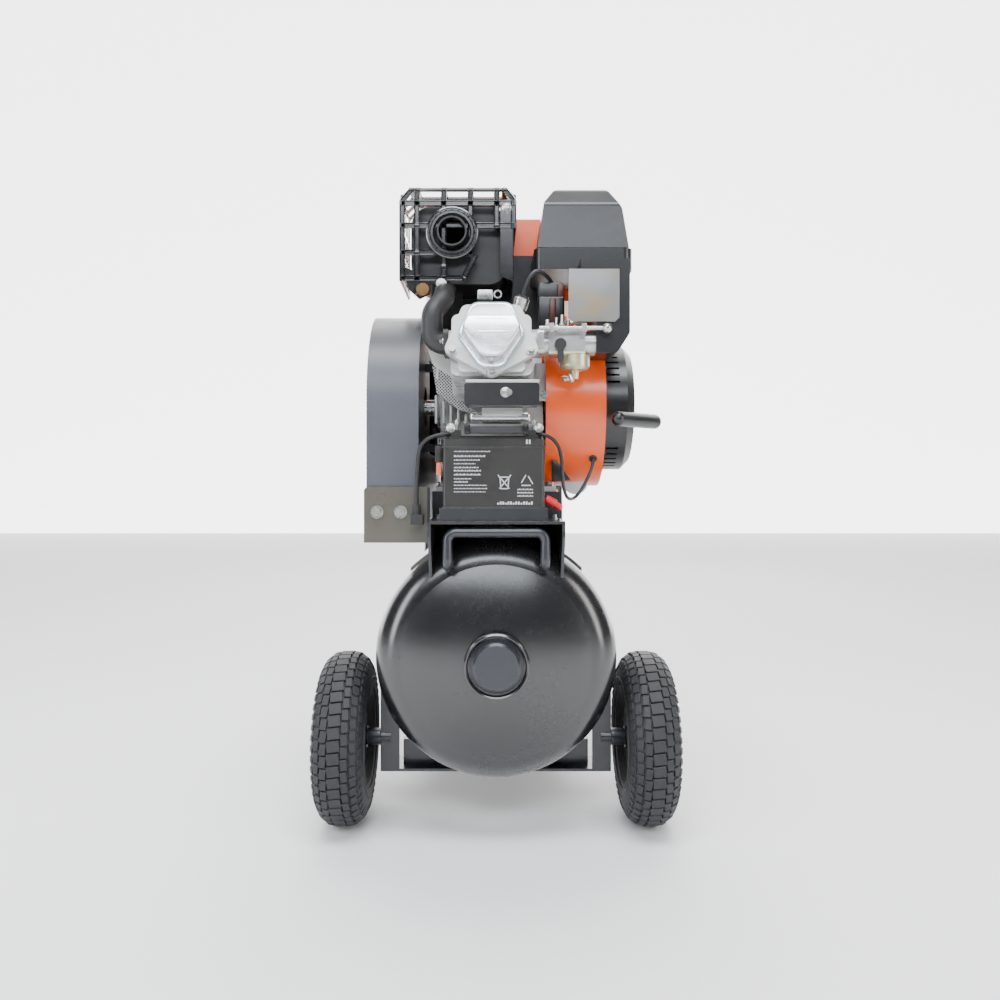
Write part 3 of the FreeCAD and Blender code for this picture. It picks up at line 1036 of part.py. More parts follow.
# ---------------------------------------------------------------- leads
terminal_y = battery_front + 22
post_z = battery_top + 8
block_z = shelf_z + 22.0
drop_x = b0 - 38.0
drop_y = bracket_front - 15.0
earth_points = [(b0 + 11, terminal_y, post_z), (b0 - 31, terminal_y, post_z),
                (drop_x, drop_y, battery_top - 46),
                (drop_x, drop_y, block_z)]
lamp_y, lamp_z = crank_y - 94.0, crank_z - 84.0
starter_points = [(b1 - 11, terminal_y, post_z), (b1 + 25, terminal_y, post_z),
                  (b1 + 27, terminal_y + 6, shelf_z + 34),
                  (b1 + 50, terminal_y + 54, shelf_z + 26), (blower_end - 16, lamp_y - 8, lamp_z - 12),
                  (blower_end - 16, lamp_y, lamp_z)]
rise = Vector(*plug_axis) * 42
coil_y, coil_z = crank_y - 64.0, crank_z + 109.0
plug_points = [tuple(plug_top), tuple(plug_top + rise), (plug_top.x + 44, plug_top.y + 16, plug_top.z + 26),
               (plug_top.x + 52, plug_top.y + 62, plug_top.z - 2), (plug_top.x + 52, coil_y, coil_z)]
earth = cord("earth_lead", earth_points, lead_d)
starter = cord("starter_lead", starter_points, red_lead_d)
plug_lead = cord("spark_plug_lead", plug_points, plug_lead_d)
save("earth_lead", earth)
save("starter_lead", starter)
save("spark_plug_lead", plug_lead)
block = box(drop_x - 8, drop_x + 9, drop_y - 8, bracket_front, block_z - 28, block_z - 14)
boots = [rod((drop_x, drop_y, block_z), (0, 0, -1), 20, 6).fuse(block)]
for x, y, z in ((blower_end - 16, lamp_y, lamp_z), (plug_top.x + 52, coil_y, coil_z)):
    inward = Vector(0, crank_y - y, crank_z - z)
    boots.append(rod((x, y, z), tuple(inward), 8, 6))
drum = rod((0, crank_y, crank_z), (1, 0, 0), 300, blower_r)
save("lead_boots", *[piece.cut([drum, earth, starter, plug_lead]) for piece in boots])

# ---------------------------------------------------------------- zinc fasteners
front_face = (0, -1, 0)
upwards = (0, 0, 1)
fasteners = [bolt((x, bracket_front, front_z - 36), front_face, 11.0)
             for x in (-guard_side + 16, -guard_side + 50)]
fasteners += [tilt(bolt((cylinder_x + x, y, cover_base), upwards, 9.0, 6.0)) for x,
              y in ((-54, -12), (54, -12), (0, -44))]
fasteners += [bolt((side * (case_half + 12), crank_y + y, deck_z + 7), upwards, 10.0, 6.0)
              for side in (-1, 1) for y in (-72, 72)]
fasteners += [bolt((side * 78, pump_y + y, deck_z + 12), upwards, 9.0) for side in (-1, 1) for y in (-83, 83)]
fasteners += [bolt((side * (leg_x - 52), 36, leg_low), (0, 0, -1), 12.0, 6.0, 2.5) for side in (-1, 1)]
fasteners += [bolt((side * foot_span / 2, foot_y + y, foot_h + plate), upwards, 9.0) for side in (-1, 1)
              for y in (-15, 15)]
fasteners += [bolt((16, ctl_y0, crank_z + 4), front_face, 6.0, 4.0, 1.0),
              bolt((68, -100, crank_z + 8), front_face, 7.0, 4.0, 1.0)]
fasteners += [bolt((x, clamp_y, battery_top + 7), upwards, 7.0, 5.0).cut(clamp_rods)
              for x in (battery_x - 61, battery_x + 62)]
fasteners += [bolt((port_left[0] - 7, port_left[1] + y, port_left[2]), (-1, 0, 0), 6.0, 4.0, 1.0)
              for y in (-22.0, 22.0)]
fasteners += [bolt((side * 85, -76, shelf_z), upwards, 6.0, 5.0) for side in (-1, 1)]
save("zinc_fasteners", *fasteners)
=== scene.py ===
import math

import bmesh
import bpy
from mathutils import Matrix, Vector


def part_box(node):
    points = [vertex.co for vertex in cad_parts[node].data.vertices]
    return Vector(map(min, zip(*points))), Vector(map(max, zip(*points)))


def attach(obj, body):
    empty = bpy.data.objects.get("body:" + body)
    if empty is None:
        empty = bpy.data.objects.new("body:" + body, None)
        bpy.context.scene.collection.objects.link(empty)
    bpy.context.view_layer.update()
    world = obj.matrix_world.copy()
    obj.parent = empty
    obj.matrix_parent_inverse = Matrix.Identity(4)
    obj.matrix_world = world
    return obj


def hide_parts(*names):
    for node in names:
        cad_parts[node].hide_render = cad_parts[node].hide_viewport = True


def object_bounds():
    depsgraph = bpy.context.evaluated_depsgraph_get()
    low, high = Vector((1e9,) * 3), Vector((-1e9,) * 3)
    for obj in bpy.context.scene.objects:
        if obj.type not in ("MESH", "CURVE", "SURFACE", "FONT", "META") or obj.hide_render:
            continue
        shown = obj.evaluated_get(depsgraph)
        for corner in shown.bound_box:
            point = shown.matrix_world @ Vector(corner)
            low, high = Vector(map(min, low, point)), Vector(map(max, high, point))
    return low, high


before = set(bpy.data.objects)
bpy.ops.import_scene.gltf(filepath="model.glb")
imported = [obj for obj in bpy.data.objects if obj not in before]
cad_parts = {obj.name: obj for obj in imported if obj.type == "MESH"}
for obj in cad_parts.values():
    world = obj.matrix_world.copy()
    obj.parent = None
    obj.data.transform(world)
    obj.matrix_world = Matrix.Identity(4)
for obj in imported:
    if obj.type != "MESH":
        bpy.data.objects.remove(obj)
cad_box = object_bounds()

# ------------------------------------------------------------------ camera
camera = bpy.data.objects.new("camera", bpy.data.cameras.new("camera"))
camera.location = (-0.009, -1.713, 0.527)
camera.rotation_euler = (math.radians(90.0), 0.0, 0.0)
camera.data.lens = 31.6
camera.data.shift_x = 0.010
camera.data.shift_y = -0.020
bpy.context.scene.collection.objects.link(camera)
bpy.context.scene.camera = camera


# ------------------------------------------------------------------ leads
def lead(name, diameter, route):
    """Flexible lead on one smooth line, in place of its CAD tube."""
    curve = bpy.data.curves.new(name, "CURVE")
    curve.dimensions = "3D"
    curve.bevel_depth = 1.0
    curve.bevel_resolution = 5
    curve.resolution_u = 14
    curve.use_fill_caps = True
    spline = curve.splines.new("NURBS")
    spline.points.add(len(route) - 1)
    for point, place in zip(spline.points, route):
        point.co = (*place, 1.0)
        point.radius = diameter / 2
    spline.order_u = 3
    spline.use_endpoint_u = True
    made = bpy.data.objects.new(name, curve)
    bpy.context.scene.collection.objects.link(made)
    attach(made, "chassis")
    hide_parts(name.replace("_line", ""))
    return made


earth_line = lead("earth_lead_line", 0.006, [
    (-0.064, -0.473, 0.592), (-0.106, -0.473, 0.592), (-0.113, -0.4695, 0.538), (-0.113, -0.4695, 0.492)])
starter_line = lead("starter_lead_line", 0.005, [
    (0.056, -0.473, 0.592), (0.092, -0.473, 0.592), (0.094, -0.467, 0.504), (0.117, -0.419, 0.496),
    (0.145, -0.410, 0.546), (0.145, -0.402, 0.558)])
plug_line = lead("spark_plug_lead_line", 0.006, [
    (0.0376, -0.4660, 0.7896), (0.0481, -0.4736, 0.8295), (0.0816, -0.4500, 0.8156),
    (0.0896, -0.4040, 0.7876), (0.0896, -0.372, 0.751)])


# ------------------------------------------------------------------ shader maths
class Value:
    """A socket of a finish's node tree, for use in plain sums."""

    def __init__(self, finish, socket):
        self.finish = finish
        self.socket = socket

    def __add__(self, other):
        return self.finish.maths("ADD", self, other)

    def __sub__(self, other):
        return self.finish.maths("SUBTRACT", self, other)

    def __mul__(self, other):
        return self.finish.maths("MULTIPLY", self, other)

    def __truediv__(self, other):
        return self.finish.maths("DIVIDE", self, other)

    def __lt__(self, other):
        return self.finish.maths("LESS_THAN", self, other)

    def __rsub__(self, other):
        return self.finish.maths("SUBTRACT", other, self)

    __radd__ = __add__
    __rmul__ = __mul__

    def clamped(self):
        """The value held between 0 and 1."""
        return self.finish.maths("ADD", self, 0.0, clamp=True)


class Finish:
    """A material and the few moves that every surface of this machine needs."""

    def __init__(self, name, metal=0.0, coat=0.0, coat_rough=0.15):
        self.material = bpy.data.materials.new(name)
        self.material.use_nodes = True
        self.tree = self.material.node_tree
        self.shader = self.tree.nodes["Principled BSDF"]
        self.shader.inputs["Metallic"].default_value = metal
        self.shader.inputs["Coat Weight"].default_value = coat
        self.shader.inputs["Coat Roughness"].default_value = coat_rough
        self.place = self.node("ShaderNodeTexCoord", {}, {}, "Object")

    def set(self, socket, value):
        """Gives a socket its value or its link."""
        if isinstance(value, Value):
            self.tree.links.new(value.socket, socket)
        else:
            socket.default_value = value

    def node(self, kind, settings, sockets, output=0):
        """Any node: its settings first, then its sockets."""
        made = self.tree.nodes.new(kind)
        for setting, value in settings.items():
            setattr(made, setting, value)
        for key, value in sockets.items():
            self.set(made.inputs[key], value)
        return Value(self, made.outputs[output])

    def maths(self, operation, *values, clamp=False):
        return self.node("ShaderNodeMath", {"operation": operation, "use_clamp": clamp},
                         dict(enumerate(values)))

    def noise(self, scale, detail=2.0, stretch=(1.0, 1.0, 1.0)):
        """Cloudy value around 0.5. Scale is in features per metre."""
        spread = self.node("ShaderNodeMapping", {}, {"Vector": self.place, "Scale": stretch})
        return self.node("ShaderNodeTexNoise", {}, {"Vector": spread, "Scale": scale, "Detail": detail})

    def blend(self, share, first, second):
        """Colour between two colours. A plain colour is three numbers."""
        first, second = [c if isinstance(c, Value) else (*c, 1.0) for c in (first, second)]
        return self.node("ShaderNodeMix", {"data_type": "RGBA"}, {0: share, 6: first, 7: second}, 2)

    def axis(self, name):
        """Distance along X, Y or Z in the machine's frame, in metres."""
        return self.node("ShaderNodeSeparateXYZ", {}, {"Vector": self.place}, name)

    def upward(self):
        """1 on faces that look up, 0 on the rest."""
        facing = self.node("ShaderNodeNewGeometry", {}, {}, "Normal")
        return self.node("ShaderNodeSeparateXYZ", {}, {"Vector": facing}, "Z").clamped()

    def edge(self, reach=0.0011):
        """1 along edges, 0 on flat places. Reach is the worn strip's width in metres."""
        rounded = self.node("ShaderNodeBevel", {"samples": 3}, {"Radius": reach})
        facing = self.node("ShaderNodeNewGeometry", {}, {}, "Normal")
        agree = self.node("ShaderNodeVectorMath", {"operation": "DOT_PRODUCT"}, {0: rounded, 1: facing},
                          "Value")
        return ((0.97 - agree) * 7.0).clamped()

    def wear(self, colour, rough, patch, shade, rub, rubbed, dust, dusty=(0.30, 0.27, 0.23)):
        """Clouded colour with rubbed edges and a little dust on top, and the gloss that goes with it."""
        cloud = self.noise(patch, 3.0)
        scuff = (self.noise(160.0, 4.0) - 0.42) * 3.0
        rubs = (self.edge() * scuff.clamped() * rub).clamped()
        settled = self.upward() * self.noise(35.0, 4.0) * dust
        if not isinstance(colour, Value):
            colour = self.blend(cloud, [c * (1.0 - shade) for c in colour],
                                [c * (1.0 + shade) for c in colour])
        worn = self.blend(settled, self.blend(rubs, colour, rubbed), dusty)
        self.set(self.shader.inputs["Base Color"], worn)
        smears = self.noise(90.0, 3.0)
        gloss = rough + (cloud - 0.5) * 0.22 + (smears - 0.5) * 0.12 + rubs * 0.15 + settled * 0.5
        self.set(self.shader.inputs["Roughness"], gloss.clamped())
        return cloud

    def bump(self, height, depth, strength=0.35):
        """Relief of the surface. Depth is in metres."""
        relief = self.node("ShaderNodeBump", {}, {"Height": height, "Distance": depth, "Strength": strength})
        self.set(self.shader.inputs["Normal"], relief)


def paint(name, colour, rough, coat=0.25, coat_rough=0.15, shade=0.16, patch=7.0, peel=230.0,
          depth=0.0004, rub=0.5,
          rubbed=(0.24, 0.24, 0.24), dust=0.04):
    """Sprayed paint or moulded plastic: orange peel, rubbed edges, a breath of dust."""
    look = Finish(name, coat=coat, coat_rough=coat_rough)
    look.wear(colour, rough, patch, shade, rub, rubbed, dust)
    look.bump(look.noise(peel, 2.0) + look.noise(peel * 4.0, 2.0) * 0.4, depth, 0.12)
    return look.material


def metal(name, colour, rough, grain=420.0, depth=0.0006, shade=0.14, patch=14.0, rub=0.4,
          rubbed=(0.85, 0.85, 0.86), metallic=0.9, stretch=(1.0, 1.0, 1.0), dust=0.03, relief=0.3):
    """Bare or plated metal: sand-cast grain, or drawn lines when it is stretched."""
    look = Finish(name, metal=metallic)
    look.wear(colour, rough, patch, shade, rub, rubbed, dust)
    look.bump(look.noise(grain, 3.0, stretch) + look.noise(grain * 0.25, 2.0) * 0.6, depth, relief)
    return look.material


# ------------------------------------------------------------------ finishes
tank_black = paint("tank_black", (0.0045, 0.0047, 0.0058), 0.25, coat=0.9, coat_rough=0.24, peel=150.0,
                   depth=0.0005, rub=0.08, dust=0.02)
frame_black = paint("frame_black", (0.010, 0.012, 0.018), 0.34, coat=0.35, peel=190.0, rub=0.8)
rim_black = paint("rim_black", (0.015, 0.015, 0.017), 0.36, coat=0.2)
muffler_black = paint("muffler_black", (0.0065, 0.0065, 0.007), 0.46, coat=0.05, shade=0.3, peel=320.0)
cage_black = paint("cage_black", (0.0075, 0.0075, 0.009), 0.20, coat=0.8, peel=160.0, rub=0.10,
                   rubbed=(0.3, 0.3, 0.32))
plastic_black = paint("plastic_black", (0.0060, 0.0060, 0.0072), 0.34, coat=0.15, peel=520.0, rub=0.3)
knob_black = paint("knob_black", (0.016, 0.016, 0.016), 0.40, coat=0.05, peel=620.0)
battery_case = paint("battery_case", (0.016, 0.015, 0.014), 0.45, coat=0.05, peel=700.0, shade=0.25,
                     patch=22.0)
orange_paint = paint("orange_paint", (0.78, 0.085, 0.003), 0.34, coat=0.35, shade=0.10, peel=170.0, rub=0.7,
                     rubbed=(0.9, 0.35, 0.12))
cable_black = paint("cable_black", (0.014, 0.014, 0.015), 0.42, coat=0.0, peel=800.0, rub=0.0)
cable_red = paint("cable_red", (0.55, 0.012, 0.012), 0.38, coat=0.1, peel=700.0, rub=0.0)
rubber = paint("rubber", (0.018, 0.018, 0.019), 0.70, coat=0.0, peel=900.0, depth=0.0008, dust=0.15)
belt_rubber = paint("belt_rubber", (0.020, 0.019, 0.018), 0.72, coat=0.0, peel=900.0, dust=0.1)
orange_insert = paint("orange_insert", (0.75, 0.17, 0.07), 0.42, coat=0.1, peel=500.0)
engine_alloy = metal("engine_alloy", (0.46, 0.46, 0.45), 0.50, grain=520.0, depth=0.0010, metallic=0.45)
cover_alloy = metal("cover_alloy", (0.76, 0.79, 0.82), 0.24, grain=700.0, depth=0.0004, metallic=0.85,
                    relief=0.15)
shroud_steel = metal("shroud_steel", (0.52, 0.52, 0.51), 0.38, grain=300.0, metallic=0.4, relief=0.15)
shaft_steel = metal("shaft_steel", (0.42, 0.42, 0.43), 0.26, grain=90.0, stretch=(1.0, 12.0, 12.0))
iron = metal("iron", (0.055, 0.056, 0.060), 0.50, grain=380.0, depth=0.0012, metallic=0.55,
             rubbed=(0.4, 0.4, 0.4))
exhaust_steel = metal("exhaust_steel", (0.040, 0.039, 0.040), 0.50, grain=260.0, metallic=0.6, shade=0.35,
                      rubbed=(0.3, 0.26, 0.22))
zinc = metal("zinc", (0.48, 0.48, 0.46), 0.28, grain=500.0, shade=0.2, patch=60.0)
brass = metal("brass", (0.62, 0.42, 0.16), 0.30, grain=400.0, shade=0.2, rubbed=(0.9, 0.7, 0.35))
copper_tube = metal("copper_tube", (0.62, 0.30, 0.18), 0.32, grain=200.0, shade=0.25, rubbed=(0.9, 0.5, 0.35))
dull_gold = metal("dull_gold", (0.16, 0.085, 0.020), 0.45, grain=600.0, shade=0.35, patch=90.0, metallic=0.4,
                  rubbed=(0.5, 0.35, 0.12))
gasket_grey = metal("gasket_grey", (0.30, 0.42, 0.42), 0.50, grain=600.0, metallic=0.2)


def tyre_rubber():
    """Black rubber, greyer where the road rubs it, with a little dust on faces that look up."""
    look = Finish("tyre_rubber")
    look.wear((0.014, 0.0145, 0.017), 0.62, 18.0, 0.25, 0.8, (0.060, 0.062, 0.070), 0.06)
    look.bump(look.noise(380.0, 4.0) + look.noise(1500.0, 2.0) * 0.5, 0.0009, 0.4)
    return look.material


def platform_paint():
    """Black paint on the deck, olive grey on the outrigger that carries the belt guard."""
    look = Finish("platform_paint", coat=0.3)
    outrigger = (look.axis("X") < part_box("lift_handle")[0].x - 0.024)
    colour = look.blend(outrigger, (0.017, 0.018, 0.022), (0.085, 0.078, 0.064))
    look.wear(colour, 0.33, 8.0, 0.1, 0.7, (0.34, 0.34, 0.33), 0.05)
    look.bump(look.noise(190.0, 2.0), 0.0004, 0.12)
    return look.material


def guard_paint_and_shade():
    """Dark grey satin paint, tinted blue as painted reflection and darker towards the top as painted shade.
    """
    look = Finish("guard_paint_and_shade", coat=0.25, coat_rough=0.3)
    low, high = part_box("belt_guard_cover")
    # Painted shade: the colour darkens from 11 cm below the cover's top upward; the bluish grey below it is
    # painted reflection.
    painted_top_shade = ((look.axis("Z") - (high.z - 0.11)) / 0.10).clamped()
    colour = look.blend(painted_top_shade, (0.070, 0.074, 0.090), (0.022, 0.021, 0.020))
    look.wear(colour, 0.42, 6.0, 0.1, 0.7, (0.36, 0.36, 0.38), 0.05)
    look.bump(look.noise(210.0, 2.0), 0.0004, 0.12)
    return look.material


def carburettor_metal():
    """Grey die casting with a yellow-plated float bowl below it."""
    look = Finish("carburettor_metal", metal=0.85)
    low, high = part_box("carburettor")
    bowl = look.axis("Z") < low.z + (high.z - low.z) * 0.50
    plated = look.blend((look.noise(45.0, 3.0) - 0.25) * 1.8, (0.42, 0.40, 0.34), (0.80, 0.74, 0.42))
    cast = look.blend(look.noise(70.0, 3.0), (0.34, 0.34, 0.34), (0.62, 0.62, 0.61))
    look.wear(look.blend(bowl, cast, plated), 0.34, 30.0, 0.1, 0.4, (0.85, 0.85, 0.84), 0.02)
    look.bump(look.noise(600.0, 3.0), 0.0006, 0.25)
    return look.material


def control_box_paint():
    """Black moulded box on a bare sheet hanger."""
    look = Finish("control_box_paint", coat=0.2)
    hanger = look.axis("Z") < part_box("control_box")[1].z - 0.0322
    look.wear(look.blend(hanger, (0.013, 0.013, 0.015), (0.46, 0.46, 0.44)), 0.36, 12.0, 0.1, 0.3,
              (0.6, 0.6, 0.6), 0.02)
    look.set(look.shader.inputs["Metallic"], hanger * 0.8)
    look.bump(look.noise(520.0, 2.0), 0.0003, 0.15)
    return look.material


def duct_plastic():
    """Milky grey plastic with a brown shade in its middle, where the duct shows through."""
    look = Finish("duct_plastic", coat=0.2)
    middle = ((look.noise(26.0, 2.0) - 0.45) * 4.0).clamped()
    colour = look.blend(middle, (0.17, 0.175, 0.18), (0.23, 0.185, 0.12))
    look.wear(colour, 0.36, 12.0, 0.1, 0.3, (0.5, 0.5, 0.5), 0.02)
    look.bump(look.noise(420.0, 2.0), 0.0003, 0.15)
    return look.material


tyre_black = tyre_rubber()
platform_black = platform_paint()
guard_grey = guard_paint_and_shade()
carb_zinc = carburettor_metal()
duct_grey = duct_plastic()
box_black = control_box_paint()
# Painted shade: a dark red that stands for the orange fuel tank in shadow.
tank_orange_in_shade = paint("tank_orange_in_shade", (0.055, 0.005, 0.004), 0.40, coat=0.1, peel=500.0, rub=0.2)
mark_white = paint("mark_white", (0.52, 0.52, 0.54), 0.55, coat=0.0, shade=0.3, patch=90.0, rub=0.0)
dial_white = paint("dial_white", (0.80, 0.80, 0.78), 0.35, coat=0.5, peel=400.0, rub=0.0)

node_finish = {
    tank_black: ["tank_shell"],
    frame_black: ["axle_frame", "tank_saddles", "lift_handle", "push_handle", "inspection_plugs"],
    platform_black: ["engine_platform"],
    guard_grey: ["belt_guard_cover"],
    rim_black: ["rim_left", "rim_right", "belt_guard_backplate"],
    rubber: ["rubber_feet", "lead_boots"],
    battery_case: ["battery"],
    plastic_black: ["battery_clamp", "air_cleaner_base", "air_cleaner_cover", "recoil_cover",
                    "recoil_reel", "starter_grip"],
    box_black: ["control_box"],
    belt_rubber: ["drive_belt"],
    engine_alloy: ["engine_crankcase", "cylinder_barrel", "cylinder_head", "pump_cylinders", "pump_heads"],
    cover_alloy: ["rocker_cover"],
    shroud_steel: ["cylinder_shrouds", "flywheel_fan"],
    shaft_steel: ["engine_crankshaft", "pump_crankshaft"],
    iron: ["pump_crankcase", "pump_flywheel", "drive_pulley", "starter_motor"],
    exhaust_steel: ["exhaust_pipe"],
    muffler_black: ["muffler_body", "pump_intake_filters"],
    cage_black: ["muffler_guard"],
    orange_paint: ["fuel_tank", "blower_housing"],
    zinc: ["zinc_fasteners", "choke_rod", "throttle_lever"],
    carb_zinc: ["carburettor"],
    brass: ["air_manifold", "drain_tap", "pressure_gauges"],
    copper_tube: ["delivery_pipe"],
    knob_black: ["fuel_cap", "regulator_knob", "outlet_cock_lever", "fuel_tap_lever", "spark_plug"],
}
for finish, names in node_finish.items():
    for name in names:
        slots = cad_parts[name].material_slots
        if not slots:
            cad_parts[name].data.materials.append(finish)
        for slot in slots:
            slot.material = finish
for line, finish in ((earth_line, cable_black), (starter_line, cable_black), (plug_line, cable_black)):
    line.data.materials.append(finish)


# ------------------------------------------------------------------ shaping helpers
def facing(centre, along):
    """Place whose Z points along a direction."""
    turn = Vector((0, 0, 1)).rotation_difference(Vector(along))
    return Matrix.Translation(centre) @ turn.to_matrix().to_4x4()


def soften(shape, width, steps=2, sharper_than=30.0):
    """Rounds every edge where two faces meet at more than an angle."""
    edges = [e for e in shape.edges if len(e.link_faces) == 2
             and e.calc_face_angle(0.0) > math.radians(sharper_than)]
    if width and edges:
        bmesh.ops.bevel(shape, geom=edges, offset=width, offset_type="OFFSET", segments=steps, profile=0.5,
                        affect="EDGES", clamp_overlap=True, material=-1)
    return shape


def block(low, high, soft=0.0, steps=2):
    """Block between two corners."""
    low, high = Vector(low), Vector(high)
    shape = bmesh.new()
    bmesh.ops.create_cube(shape, size=1.0)
    bmesh.ops.scale(shape, vec=high - low, verts=shape.verts)
    bmesh.ops.translate(shape, vec=(low + high) / 2, verts=shape.verts)
    return soften(shape, soft, steps)


def plate(outline, thick, soft=0.0, steps=2, corner=0.0):
    """Flat piece with an outline in X and Y, as thick as stated along +Z."""
    shape = bmesh.new()
    face = shape.faces.new([shape.verts.new((x, y, 0.0)) for x, y in outline])
    pushed = bmesh.ops.extrude_face_region(shape, geom=[face])["geom"]
    bmesh.ops.translate(shape, vec=(0, 0, thick),
                        verts=[v for v in pushed if isinstance(v, bmesh.types.BMVert)])
    bmesh.ops.recalc_face_normals(shape, faces=shape.faces)
    if corner:
        uprights = [e for e in shape.edges if abs(e.verts[0].co.z - e.verts[1].co.z) > thick / 2]
        bmesh.ops.bevel(shape, geom=uprights, offset=corner, offset_type="OFFSET", segments=5, profile=0.5,
                        affect="EDGES", clamp_overlap=True, material=-1)
    return soften(shape, soft, steps)


def turned(profile, steps=40, closed=False):
    """Turned shape about Z. The profile is (height, radius), pole to pole unless it is a closed loop."""
    shape = bmesh.new()
    points = [shape.verts.new((radius, 0.0, height)) for height, radius in profile]
    edges = [shape.edges.new(pair) for pair in zip(points, points[1:])]
    if closed:
        edges.append(shape.edges.new((points[-1], points[0])))
    bmesh.ops.spin(shape, geom=points + edges, cent=(0, 0, 0), axis=(0, 0, 1), angle=math.tau, steps=steps,
                   use_merge=True)
    bmesh.ops.remove_doubles(shape, verts=shape.verts, dist=1e-6)
    return shape


def rod(radius, length, soft=0.0, sides=24):
    """Round bar from the origin along +Z."""
    shape = bmesh.new()
    bmesh.ops.create_cone(shape, cap_ends=True, segments=sides, radius1=radius, radius2=radius, depth=length)
    bmesh.ops.translate(shape, vec=(0, 0, length / 2), verts=shape.verts)
    return soften(shape, soft)


def standing(y):
    """Place that turns a flat X and Y outline upright at a stated Y."""
    return Matrix.Translation((0, y, 0)) @ Matrix.Rotation(math.radians(90.0), 4, "X")


def upright(outline, front, thick, soft=0.0, steps=2, corner=0.0):
    """Plate that stands across the machine, with an outline in X and Z and its face at a stated Y."""
    return placed(plate(outline, thick, soft, steps, corner), standing(front + thick))


def perforated(outline, front, thick, pitch):
    """Sheet full of small square holes, cut to a convex outline in X and Z."""
    middle = sum((Vector(corner) for corner in outline), Vector((0, 0))) / len(outline)
    reach = max((Vector(corner) - middle).length for corner in outline)
    cells = int(2 * reach / pitch)
    sheet = bmesh.new()
    bmesh.ops.create_grid(sheet, x_segments=cells, y_segments=cells, size=reach)
    inner = sheet.faces[:]
    bmesh.ops.inset_individual(sheet, faces=inner, thickness=pitch * 0.19)
    bmesh.ops.delete(sheet, geom=inner, context="FACES")
    placed(sheet, Matrix.Translation((middle.x, middle.y, 0)) @ Matrix.Rotation(math.radians(42.0), 4, "Z"))
    for corner, after in zip(outline, outline[1:] + outline[:1]):
        run = Vector(after) - Vector(corner)
        outward = Vector((-run.y, run.x, 0))
        bmesh.ops.bisect_plane(sheet, geom=sheet.verts[:] + sheet.edges[:] + sheet.faces[:],
                               plane_co=(*corner, 0), plane_no=outward, clear_outer=True)
    bmesh.ops.solidify(sheet, geom=sheet.faces[:], thickness=thick)
    return placed(sheet, standing(front + thick))


def hexagon_bolt(across, head):
    """Flanged hexagon bolt head that stands on Z = 0."""
    shape = rod(across / math.sqrt(3), head, across * 0.06, 6)
    washer = rod(across * 0.82, head * 0.22, head * 0.05, 28)
    return merged([shape, washer])


def merged(shapes):
    """Several closed shapes as one."""
    whole = bmesh.new()
    for shape in shapes:
        bmesh.ops.remove_doubles(shape, verts=shape.verts, dist=1e-6)
        bmesh.ops.recalc_face_normals(shape, faces=shape.faces)
        carrier = bpy.data.meshes.new("carrier")
        shape.to_mesh(carrier)
        whole.from_mesh(carrier)
        shape.free()
        bpy.data.meshes.remove(carrier)
    return whole


def placed(shape, place):
    """A shape moved to its place."""
    bmesh.ops.transform(shape, matrix=place, verts=shape.verts)
    return shape


def fit(name, shapes, finish, body="chassis", instead=()):
    """Makes a new piece of closed shapes and hangs it on its body."""
    whole = merged(shapes)
    mesh = bpy.data.meshes.new(name)
    whole.to_mesh(mesh)
    whole.free()
    mesh.shade_smooth()
    mesh.set_sharp_from_angle(angle=math.radians(35.0))
    mesh.materials.append(finish)
    made = bpy.data.objects.new(name, mesh)
    bpy.context.scene.collection.objects.link(made)
    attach(made, body)
    if instead:
        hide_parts(*instead)
    return made


